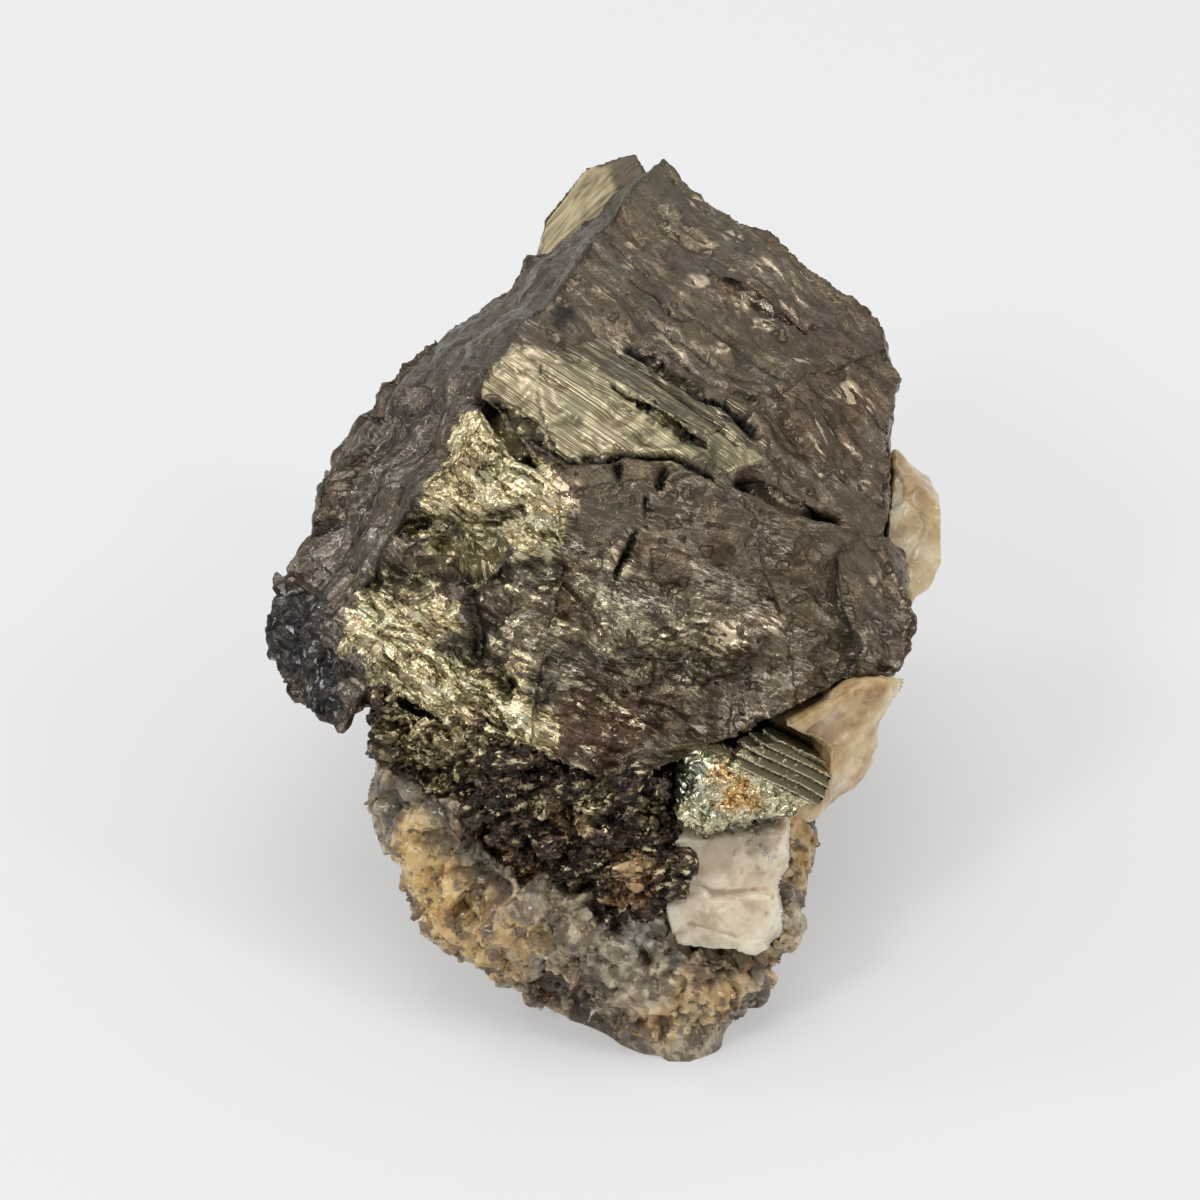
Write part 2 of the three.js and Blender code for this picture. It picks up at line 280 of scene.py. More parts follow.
def makeFacets():
    # flat little faces, each leaning its own way on top of the Lean that is passed in, and the
    # seams where they meet; Warp bends their borders
    inputs = {
        "Vector": (0, 0, 0), "Length": 0.2, "Width": 0.2, "Warp": 0.0, "Tilt": 0.5,
        "Lean": (0, 0, 0),
    }
    outputs = {"Normal": "Vector", "Lean": "Vector", "Tone": "Float", "Seam": "Float"}
    group, start, end = newGroup("facets", inputs, outputs)
    local, half = stretched(group, start), (0.5, 0.5, 0.5)
    wander = addNode(group, "ShaderNodeTexNoise", {"Vector": local, "Scale": 0.8, "Detail": 2.0})
    wander = wander.outputs["Color"]
    pushed = vectorMath("SCALE", vectorMath("SUBTRACT", wander, half), start["Warp"])
    moved = {"Vector": vectorMath("ADD", local, pushed), "Scale": 1.0}
    cell = addNode(group, "ShaderNodeTexVoronoi", moved).outputs["Color"]
    border = addNode(group, "ShaderNodeTexVoronoi", moved, feature="DISTANCE_TO_EDGE")
    turned = vectorMath("SCALE", vectorMath("SUBTRACT", cell, half), start["Tilt"])
    lean = vectorMath("ADD", start["Lean"], turned)
    flat = addNode(group, "ShaderNodeNewGeometry").outputs["Normal"]
    tone = addNode(group, "ShaderNodeSeparateXYZ", {"Vector": cell}).outputs["X"]
    cloud = addNode(group, "ShaderNodeSeparateXYZ", {"Vector": wander}).outputs["Z"]
    seam = ranged(border.outputs["Distance"], 0.0, 0.16, 1.0, 0.0)
    feed(group, end, {
        "Normal": vectorMath("NORMALIZE", vectorMath("ADD", flat, lean)),
        "Lean": lean, "Tone": tone, "Seam": multiplied(seam, ranged(cloud, 0.42, 0.54)),
    })
    return group


def makeStain():
    # a ragged mask: Size of its patches, Level where it starts, Edge for how soft it ends
    inputs = {"Vector": (0, 0, 0), "Size": 1.0, "Level": 0.5, "Edge": 0.1}
    group, start, end = newGroup("stain", inputs, {"Mask": "Float"})
    scale = addNode(group, "ShaderNodeMath", {0: 1.0, 1: start["Size"]}, operation="DIVIDE")
    cloud = cloudOver(
        Vector=start["Vector"], Scale=scale.outputs[0], Detail=3.0, Roughness=0.62,
    )
    mask = addNode(group, "ShaderNodeMapRange", {
        "Value": cloud, "From Min": start["Level"], "From Max": added(start["Level"], start["Edge"]),
    }, interpolation_type="SMOOTHSTEP")
    feed(group, end, {"Mask": mask.outputs[0]})
    return group


# Shapes as arrays of points.

def cadShape(node, swell=0.0):
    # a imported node's corners in millimetres and its triangles, with doubled corners merged
    mesh = bmesh.new()
    mesh.from_mesh(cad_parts[node].data)
    bmesh.ops.remove_doubles(mesh, verts=mesh.verts, dist=1e-6)
    mesh.normal_update()
    points = np.array([v.co / millimetre + v.normal * swell for v in mesh.verts])
    faces = [[v.index for v in f.verts] for f in mesh.faces]
    mesh.free()
    return points, faces


def settle(piece):
    # the modifiers' result becomes the object's own mesh
    graph = bpy.context.evaluated_depsgraph_get()
    mesh = bpy.data.meshes.new_from_object(piece.evaluated_get(graph))
    piece.modifiers.clear()
    old = piece.data
    piece.data = mesh
    bpy.data.meshes.remove(old)
    mesh.name = piece.name


def remeshed(name, node, voxel, swell=0.0):
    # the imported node's solid with an even skin of small faces
    points, faces = cadShape(node, swell)
    mesh = bpy.data.meshes.new(name)
    mesh.from_pydata(points, [], faces)
    piece = bpy.data.objects.new(name, mesh)
    bpy.context.scene.collection.objects.link(piece)
    remesh = piece.modifiers.new("even skin", "REMESH")
    remesh.mode = "VOXEL"
    remesh.voxel_size = voxel * coarser
    settle(piece)
    return piece, pointsOf(piece), normalsOf(piece)


def pointsOf(piece):
    values = np.empty(len(piece.data.vertices) * 3)
    piece.data.vertices.foreach_get("co", values)
    return values.reshape(-1, 3)


def normalsOf(piece):
    values = np.empty(len(piece.data.vertices) * 3)
    piece.data.vertex_normals.foreach_get("vector", values)
    return values.reshape(-1, 3)


def setPoints(piece, points):
    inside = np.clip(points, lowCorner, highCorner)
    piece.data.vertices.foreach_set("co", inside.ravel())
    piece.data.update()


def sink(piece, points, normals, depth):
    # moves the surface in by depth, and out where it is negative, but never past the frame's box
    room = np.minimum(points - lowCorner, highCorner - points).min(axis=1)
    out = np.minimum(np.maximum(-depth, 0), furthestOut) * smooth(room, 0.0, 0.5)
    setPoints(piece, points + normals * (out - np.maximum(depth, 0))[:, None])


def soften(piece, rounds):
    # takes the sharpest points off the surface
    modifier = piece.modifiers.new("soften", "SMOOTH")
    modifier.factor = 0.5
    modifier.iterations = rounds
    settle(piece)


def setMarks(piece, marks):
    # masks, or vectors for the points, that the finishes read by their names
    for name, values in marks.items():
        kind, field = ("FLOAT", "value") if values.ndim == 1 else ("FLOAT_VECTOR", "vector")
        mark = piece.data.attributes.new(name, kind, "POINT")
        mark.data.foreach_set(field, values.astype(np.float32).ravel())


def trianglesOf(piece):
    return sum(len(face.vertices) - 2 for face in piece.data.polygons)


def finishPiece(piece, material, nodes=(), faceLimit=195000, keep=None):
    # thins the mesh where it is flattest, brings it to metres and ties it to the frame
    triangles = trianglesOf(piece)
    if triangles > faceLimit:
        thin = piece.modifiers.new("thinned", "DECIMATE")
        thin.ratio = faceLimit / triangles
        if keep is not None:
            group = piece.vertex_groups.new(name="hidden")
            for level in range(1, 5):
                chosen = np.nonzero(np.round((1 - keep) * 4) == level)[0].tolist()
                group.add(chosen, level / 4, "REPLACE")
            thin.vertex_group = "hidden"
        settle(piece)
        piece.vertex_groups.clear()
    piece.data.transform(Matrix.Scale(millimetre, 4))
    if nodes:
        piece.data.shade_smooth()
        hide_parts(*nodes)
    else:
        piece.data.shade_flat()
    piece.data.materials.clear()
    piece.data.materials.append(material)
    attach(piece, "root")
    print(piece.name, triangles, "triangles, now", trianglesOf(piece))


# Patterns over points.

def noiseAt(points, size, seed=0.0):
    return np.array([noise.noise(p) for p in (points / size + seed).tolist()])


def wanderAt(points, size, seed=0.0):
    # a noise for each axis
    return np.stack([noiseAt(points, size, seed + shift) for shift in (0.0, 31.7, 73.1)], axis=1)


def shardsAt(points, size, seed=0.0):
    # cells broken flat, each tilted its own way: their height, how near a border is, their tone
    scaled = points / size + seed
    rows = [noise.voronoi(p) for p in scaled.tolist()]
    middle = np.array([places[0][:] for _, places in rows])
    border = np.array([away[1] - away[0] for away, _ in rows])
    flats = ((scaled - middle) * np.sin(middle * (127.1, 311.7, 74.7))).sum(axis=1)
    return flats, border, np.abs(np.sin(middle.sum(axis=1) * 41.7))


def domesAt(points, size, seed=0.0):
    # 1 at the tops of round beads that touch, 0 where they meet
    rows = [noise.voronoi(p)[0] for p in (points / size + seed).tolist()]
    near = np.array([row[0] for row in rows])
    return 1 - np.minimum(1, near / 0.75) ** 2


def smooth(values, low, high):
    t = np.clip((values - low) / (high - low), 0, 1)
    return t * t * (3 - 2 * t)


def treads(values, count, riser=0.3):
    # turns a slope into flat treads with steep risers
    scaled = values * count
    whole = np.floor(scaled)
    return (whole + smooth(scaled - whole, 0.5 - riser / 2, 0.5 + riser / 2)) / count


def reliefOf(points, recipe, seed=0.0):
    # how deep each point lies, from its place along, across and out of the streaks; and 0 to 1,
    # how far up a crest it is
    size, amount = recipe["wander"]
    p = points + wanderAt(points, size, seed) * amount
    depth, crest = np.zeros(len(p)), np.zeros(len(p))
    for n, (length, width, drop) in enumerate(recipe.get("swells", ())):
        depth += noiseAt(p, (length, width, width), seed + 10 + n) * drop
    for n, (length, width, count, drop) in enumerate(recipe.get("steps", ())):
        depth += treads(noiseAt(p, (length, width, width), seed + 20 + n), count) * drop
    for n, (length, width, drop) in enumerate(recipe.get("shards", ())):
        flats, border, _ = shardsAt(p, (length, width, width), seed + 40 + n)
        depth += (flats + 0.35 * (1 - smooth(border, 0.0, 0.14))) * drop
        crest += np.clip(0.5 - flats, 0, 1) * drop
    for n, (length, width, drop) in enumerate(recipe.get("pits", ())):
        depth += smooth(noiseAt(p, (length, width, width), seed + 50 + n), 0.2, 0.5) * drop
    return depth, crest / (sum(row[2] for row in recipe.get("shards", ())) or 1)


def facing(bearing, lean):
    # the direction of a face, from the compass bearing it looks to and its lean from level
    b, l = math.radians(bearing), math.radians(lean)
    return np.array((math.sin(l) * math.sin(b), math.sin(l) * math.cos(b), math.cos(l)))


def axesOf(bearing, lean, turn):
    # a face's own axes: along its streaks, across them, and out
    out = facing(bearing, lean)
    level = np.cross((0, 0, 1), out)
    level /= np.linalg.norm(level)
    rise = np.cross(out, level)
    along = level * math.cos(math.radians(turn)) + rise * math.sin(math.radians(turn))
    return np.array((along, np.cross(out, along), out))


def lineDistance(points, line):
    # how far each point is from a line through the given places
    line = np.array(line, float)
    best = np.full(len(points), 1e9)
    for start, end in zip(line[:-1], line[1:]):
        way = end - start
        t = np.clip((points - start) @ way / (way @ way), 0, 1)
        best = np.minimum(best, np.linalg.norm(points - start - t[:, None] * way, axis=1))
    return best


def awayFrom(points, place):
    return np.linalg.norm(points - np.array(place), axis=1)


def hollowsAt(points, hollows):
    # round dents: each row is a place, a radius and a depth
    depth = np.zeros(len(points))
    for *place, radius, drop in hollows:
        depth += drop * np.exp(-((awayFrom(points, place) / radius) ** 2))
    return depth


def spotsAt(points, spots):
    # ragged spots: each row is a place, a radius and a strength
    broad, fine = wanderAt(points, 1.1, 90), wanderAt(points, 0.35, 91)
    mark = np.zeros(len(points))
    for *place, radius, strength in spots:
        near = points + broad * min(0.8, radius * 0.6) + fine * min(0.25, radius * 0.4)
        away = awayFrom(near, place)
        mark = np.maximum(mark, strength * (1 - smooth(away, radius * 0.6, radius * 1.25)))
    return mark


def spotMarks(points, table):
    return {name: spotsAt(points, spots) for name, spots in table.items()}


def planOutline(points, outline, soft):
    # 1 inside an outline drawn from above, 0 outside it
    outline = np.array(outline, float)
    x, y = points[:, 0], points[:, 1]
    inside = np.zeros(len(points), bool)
    for (ax, ay), (bx, by) in zip(outline, np.roll(outline, -1, axis=0)):
        crosses = (ay > y) != (by > y)
        with np.errstate(divide="ignore", invalid="ignore"):
            inside ^= crosses & (x < (bx - ax) * (y - ay) / (by - ay) + ax)
    closed = np.c_[np.vstack([outline, outline[:1]]), np.zeros(len(outline) + 1)]
    away = lineDistance(points * (1, 1, 0), closed)
    return smooth(np.where(inside, away, -away), -soft, soft)


# The large crystal.

crystal = {
    "voxel": 0.085,
    "edgeSharpness": 26,      # how quickly one side's pattern gives way to the next
    "bend": 0.4,              # how far its edges wander from straight ones
    "chips": 0.3,             # how deep the wear along its edges is
    "crackWander": 0.1,
    "softening": 2,
    "brassFrom": (8.4, 9.2),  # the heights between which the brassy areas begin
    "backBrassTop": 15.4,     # and where they end behind
}
# Each pattern: what bends it (size, amount), then rows of length along the streaks, width and
# depth (steps also have a count); how wild its fine streaks are, how far its facets lean, how much
# painted highlight its wrinkles get and, where its facets aren't long ones, how much shorter they are.
crystalPatterns = {
    "striated": {
        "wander": (3, 0.06), "swells": [(5, 2.0, 0.16)], "steps": [(10, 0.7, 4, 0.22)],
        "shards": [(3.0, 0.4, 0.05), (0.9, 0.25, 0.04)], "pits": [(1.3, 0.25, 0.14)],
        "wild": 0.75, "tilt": 0.27, "wrinkleHighlight": 0.4,
    },
    "brushed": {
        "wander": (3, 0.02), "swells": [(6, 2.0, 0.06)], "steps": [(12, 0.5, 4, 0.05)],
        "wild": 0.0, "tilt": 0.07, "wrinkleHighlight": 0.0,
    },
    "crinkled": {
        "wander": (1.5, 0.2), "swells": [(3.2, 1.7, 0.28)],
        "shards": [(1.7, 1.0, 0.2), (0.7, 0.35, 0.14)], "wild": 1.0, "tilt": 0.46, "wrinkleHighlight": 1.0,
    },
    "worn": {
        "wander": (1.6, 0.15), "swells": [(3.5, 1.5, 0.16)],
        "shards": [(1.8, 0.9, 0.1), (0.7, 0.35, 0.08)], "wild": 0.9, "tilt": 0.36, "wrinkleHighlight": 0.6,
    },
    "feathered": {
        "wander": (1.3, 0.25), "swells": [(3.2, 1.4, 0.2)],
        "shards": [(1.4, 0.6, 0.14), (0.6, 0.32, 0.12)], "wild": 1.0, "tilt": 0.4, "wrinkleHighlight": 0.8,
    },
    "stepped": {
        "wander": (1.6, 0.15), "swells": [(2.5, 1.2, 0.2)], "steps": [(4, 0.9, 4, 0.4)],
        "shards": [(1.5, 0.7, 0.16), (0.6, 0.4, 0.08)], "wild": 0.9, "tilt": 0.32, "wrinkleHighlight": 0.45,
    },
    "smooth": {
        "wander": (2, 0.1), "swells": [(3.5, 1.5, 0.14)], "steps": [(6, 0.8, 4, 0.16)],
        "shards": [(2.0, 0.6, 0.08), (0.7, 0.3, 0.05)], "wild": 0.8, "tilt": 0.24, "wrinkleHighlight": 0.3,
    },
    "sugared": {
        "wander": (1, 0.2), "swells": [(1.6, 1.2, 0.2)],
        "shards": [(0.8, 0.7, 0.12), (0.35, 0.3, 0.08)], "wild": 1.0, "tilt": 0.6, "wrinkleHighlight": 0.5,
        "even": 3.2,
    },
}
# Each side: the bearing it looks to, its lean, how its streaks turn, and its pattern.
crystalSides = {
    "top": (119, 12, -112, "striated"),
    "slope": (131, 37, -78, "striated"),
    "bevel": (172, 27, -44, "brushed"),
    "front": (169, 53, -28, "crinkled"),
    "frontRight": (146, 53, -40, "worn"),
    "frontLeft": (203, 52, -20, "feathered"),
    "left": (247, 46, 95, "stepped"),
    "leftTop": (292, 30, -2, "smooth"),
    "tip": (214, 70, 19, "sugared"),
    "leftWall": (289, 91, 80, "stepped"),
    "leftBack": (303, 72, 75, "stepped"),
    "back": (343, 88, 60, "striated"),
    "rightBack": (46, 81, -70, "striated"),
    "rightWall": (85, 88, -60, "worn"),
    "under": (21, 170, 40, "crinkled"),
    "frontUnder": (140, 142, 30, "crinkled"),
    "leftUnder": (211, 137, 20, "feathered"),
}
# Cracks, valleys and, where the depth is negative, raised strips: their places in order, half
# their width, their depth and how black they are.
crystalLines = [
    ([(0.7, 1.1, 16.7), (2.1, -0.1, 16.4), (3.5, -1.1, 15.9), (4.4, -1.6, 15.4)], 0.2, 0.35, 1),
    ([(1.6, 1.6, 16.6), (2.8, 0.6, 16.3), (4.4, -0.6, 15.7)], 0.09, 0.25, 0.7),
    ([(0.2, 1, 16.8), (1.5, -0.2, 16.4), (2.7, -1.4, 16), (3.8, -2.3, 15.5)], 0.09, 0.3, 0.8),
    ([(0.2, -0.8, 16.5), (1.5, -1.8, 16.1), (2.9, -2.7, 15.6)], 0.12, 0.3, 0.9),
    ([(-0.4, -1.9, 16.2), (1.2, -2.8, 15.7)], 0.05, 0.1, 0.5),
    ([(1.2, 2.9, 16.6), (2.6, 1.8, 16.3), (4.6, 0.2, 15.8)], 0.09, 0.2, 0.5),
    ([(2.2, 3.6, 16.5), (4.2, 1.9, 16), (5.6, 0.3, 15.5)], 0.08, 0.18, 0.5),
    ([(0.9, 4.6, 17), (2.2, 3.2, 16.6)], 0.08, 0.18, 0.6),
    ([(4.9, -1.9, 15.1), (6.2, -2.6, 14.3), (7.2, -3.3, 13.5)], 0.07, 0.15, 0.5),
    ([(5.2, -0.9, 15.2), (6.8, -1.9, 14.2)], 0.08, 0.15, 0.5),
    ([(-4.1, -1.6, 16.5), (-3.4, -2.4, 16.2), (-2.9, -3.1, 15.8), (-2.3, -3.7, 15.5)],
     0.12, 0.35, 0.95),
    ([(-3.5, -1.9, 16.5), (-2.4, -2.7, 16), (-1, -3.6, 15.5)], 0.07, 0.25, 0.95),
    ([(-3.2, -2.3, 16.3), (-2.4, -3, 15.9), (-1.3, -3.7, 15.5)], 0.05, 0.15, 0.8),
    ([(-2.9, -1.8, 16.5), (-2, -2.4, 16.1), (-0.9, -3.2, 15.6)], 0.04, 0.08, 0.5),
    ([(-2, -0.4, 17), (-2.1, -1.6, 16.5), (-1.7, -2.9, 15.9)], 0.05, 0.12, 0.8),
    ([(-0.7, -3.4, 15.6), (0.5, -3.2, 15.6), (1.9, -3.1, 15.5), (3.2, -3.6, 15.1)], 0.09, 0.35, 1),
    ([(0.3, -3.5, 15.4), (0.5, -4.1, 14.9)], 0.1, 0.35, 1),
    ([(1.8, -3.5, 15.3), (1.8, -3.9, 15)], 0.12, 0.4, 1),
    ([(4.2, -3.3, 14.7), (5.3, -3.3, 14), (6.8, -3.1, 13.3)], 0.15, 0.5, 1),
    ([(1.4, -4.2, 14.8), (1.4, -4.7, 14.4), (0.9, -5.1, 13.9), (0.3, -5.7, 13.1)], 0.1, 0.45, 1),
    ([(1.4, -4.7, 14.4), (1.9, -4.8, 14.3)], 0.09, 0.35, 1),
    ([(0.3, -5.7, 13.1), (0.2, -5.9, 12.8), (0.3, -6.2, 12.4)], 0.05, 0.12, 0.9),
    ([(0.1, -6, 12.8), (0.1, -6.6, 12.2), (0.2, -7.2, 11.5), (0.1, -8.3, 9.8)], 0.045, 0.25, 0.9),
    ([(-7.3, -4.4, 12.1), (-5, -4.9, 12.6), (-3, -5.5, 12.8), (-1.6, -5.9, 13)], 0.32, 0.45, 0.5),
    ([(-6.4, -3.9, 13.2), (-4.4, -4.2, 14), (-2.6, -4.5, 14.4)], 0.16, 0.25, 0.5),
    ([(-4.3, -5.6, 12.4), (-4.1, -6.6, 11.3), (-2.9, -7.8, 10.5)], 0.2, 0.35, 0.6),
    ([(1.2, -6.3, 12.2), (2.7, -6.7, 11.4), (4.8, -6.4, 11.3)], 0.35, -0.3, 0),
    ([(1, -7.2, 11.2), (2.9, -7.3, 10.7), (4.6, -6.9, 10.5)], 0.4, 0.3, 0.3),
    ([(-1, -6.9, 11.9), (1.5, -7.6, 10.9), (2.6, -8, 10)], 0.3, -0.25, 0),
]
crystalHollows = [
    (-4.5, -6.5, 11.2, 0.8, 0.4), (-1.4, -6.4, 12.6, 1.1, 0.5), (0, -8.2, 9.9, 1.4, 0.6),
    (-1.9, -8.1, 10.5, 0.8, 0.4), (4.5, -4.9, 13, 0.9, 0.25), (3.6, -6.9, 10.6, 1.5, 0.3),
    (-6.4, -3.6, 13.4, 0.9, 0.35), (0.9, 11, 16.9, 0.9, -0.45),
]
crystalSpots = {
    # painted highlights: spots where bright glints and glare are painted on
    "gleam": [
        (2.8, 4.9, 16.6, 0.35, 0.8), (4, 4.2, 16.3, 0.45, 1), (4.7, 3.1, 16.1, 0.4, 1),
        (3.7, 7.4, 16.7, 0.3, 0.7), (7.4, 0.8, 14.9, 0.4, 0.8), (1, 6.4, 17.1, 0.3, 0.9),
        (0.8, 5, 17.1, 0.25, 0.8), (-2.6, -0.3, 17, 0.7, 1), (-1.8, 0, 17, 0.5, 1),
        (-1.4, -4.3, 15.1, 0.6, 0.9), (6.6, 1.6, 15.3, 0.3, 0.6), (2.3, -6.7, 11.2, 0.4, 0.7),
        (3.4, -6.6, 11.2, 0.45, 0.8), (4.9, -6, 11.4, 0.4, 0.7), (0.5, -5.5, 13.3, 0.5, 0.6),
        (-1.1, -9.3, 8.4, 0.4, 0.9), (-0.2, -9.6, 8, 0.4, 0.8), (-3.6, -8, 10, 0.5, 0.7),
        (7.6, -1.6, 13.6, 0.3, 0.5), (0.4, 1.6, 16.8, 0.4, 0.6), (2.9, 9.2, 17.1, 0.3, 0.8),
        (3.5, 2.1, 16.2, 0.3, 0.8), (5.8, 1.7, 15.7, 0.3, 0.8), (7.9, 0.7, 14.6, 0.3, 0.9),
    ],
    "rust": [
        (-0.7, -3.4, 15.5, 0.32, 1), (4.4, -3, 14.7, 0.32, 1), (-1.4, -6.4, 12.6, 1, 0.5),
        (3.3, -4.8, 13.5, 0.5, 0.7), (-0.1, -8.3, 9.7, 1.5, 1), (6.5, 2.5, 15.4, 2.2, 0.4),
        (7, -0.5, 14.6, 1.8, 0.4), (3.2, -7.4, 10.4, 1.2, 0.5), (1.5, -7.9, 10, 1, 0.6),
        (-0.9, -3, 15.7, 0.2, 0.8), (0.3, -8.1, 9.9, 1.5, 0.5), (4.5, -4.9, 13, 0.8, 0.5),
        (7.8, -5, 11.3, 0.8, 0.4),
    ],
    # near-black spots; the two that lie in the carved hollows are painted shade
    "dark_patches_and_shade": [(-1.9, -8.1, 10.5, 0.5, 0.8), (-1.4, 2.3, 17.2, 0.4, 0.9), (-4.5, -6.5, 11.2, 0.6, 0.7)],
    "olive": [
        (0, -4.5, 14.6, 1.1, 0.8), (-1.1, -2, 16.3, 0.6, 1), (3, -2.9, 15.4, 1.2, 0.8),
        (1.3, 9.8, 17.1, 1.5, 0.7), (5.3, 2.4, 15.9, 1.2, 0.7), (3.9, 7, 16.7, 1.2, 0.5),
        (1.4, -2, 16, 0.9, 0.4), (0.6, 0.2, 16.7, 0.9, 0.7), (2.4, -0.9, 16.1, 0.9, 0.8),
        (-4.6, -6.5, 11.4, 0.5, 0.7), (-3.4, -4.9, 14.2, 0.7, 0.8), (-2, -4.9, 14.4, 0.4, 0.7),
    ],
    "sugar": [(-9.3, -4.4, 9.8, 1.6, 1), (-8.5, -5.8, 9.3, 1.1, 1), (-9.6, -3, 9.5, 1.4, 0.8)],
}
crystalCalm = [
    (0, -4.5, 14.6, 1.2, 1), (7.2, -3.6, 12.8, 1.6, 0.8), (-0.8, -1.6, 16.3, 0.8, 0.8),
    (3.4, -4.4, 13.8, 1, 0.5), (1.3, 9.9, 17, 1.7, 0.6), (-0.5, -8.3, 9.7, 1, 0.3),
]
# Where the crystal is brassy, seen from above: how much, how polished, and the outline.
brassOutlines = [
    (1, 1, [
        (-3.6, -0.6), (-2.9, 0.1), (-1.7, 0.3), (-0.9, 0), (0.6, -1.1), (2.8, -2.3), (4.6, -2.4),
        (3.3, -3.4), (1, -3.1), (-0.2, -3.2), (-0.9, -3.6), (-3.6, -1.9),
    ]),
    (0.36, 1, [
        (-1.4, 0.9), (0.2, 1.5), (1, 0.9), (3.5, -0.9), (4.7, -1.6), (5.2, -2.8), (4.6, -2.4),
        (2.8, -2.3), (0.6, -1.1), (-0.9, 0), (-1.7, 0.3),
    ]),
    (1, 0, [
        (-4.6, -1.8), (-5.5, -3.4), (-6.4, -4), (-3.7, -5.2), (-2.1, -5.6), (-1.2, -5.4), (-1, -4.6),
        (-1.4, -3.9), (-3, -2.6),
    ]),
    (1, 0, [
        (-7.6, -4.2), (-5.3, -4.9), (-4.7, -5.6), (-4.2, -6.6), (-3.4, -7.1), (-2.6, -7.5), (-2.5, -8),
        (-1.5, -8.3), (-1.7, -9.3), (-3.3, -9.3), (-4.8, -8.6), (-6.3, -7.4), (-7.4, -5.8),
    ]),
    (0.27, 0, [
        (-4, -5.6), (-0.5, -5.2), (2.5, -5.6), (4.6, -6.4), (2.5, -8), (-0.5, -9.4), (-3, -8.4),
    ]),
]
squeeze = (1, 1, 0.45)             # lines are matched to the surface mostly by their plan
greySides = ("left", "leftTop", "leftWall", "leftBack", "tip", "leftUnder")


def brassAt(points):
    # how brassy each point of the crystal is, and how polished
    fray = noiseAt(points, 0.9, 61) * 0.5 + noiseAt(points, 0.28, 62) * 0.35
    brass, polish = np.zeros(len(points)), np.zeros(len(points))
    for share, polished, outline in brassOutlines:
        inside = planOutline(points + fray[:, None], outline, 0.2)
        inside *= smooth(points[:, 2], *crystal["brassFrom"])
        brass = np.maximum(brass, share * inside)
        polish = np.maximum(polish, polished * inside)
    behind = smooth(points[:, 1] + 0.5 * np.abs(points[:, 0]), 7.5, 9.5)
    behind *= smooth(crystal["backBrassTop"] - points[:, 2], 0.0, 0.6)
    torn = noiseAt(points, (2.2, 2.2, 3.5), 68) + 0.5 * fray
    return np.maximum(brass, behind * 0.8 * smooth(torn, 0.28, 0.42)), polish


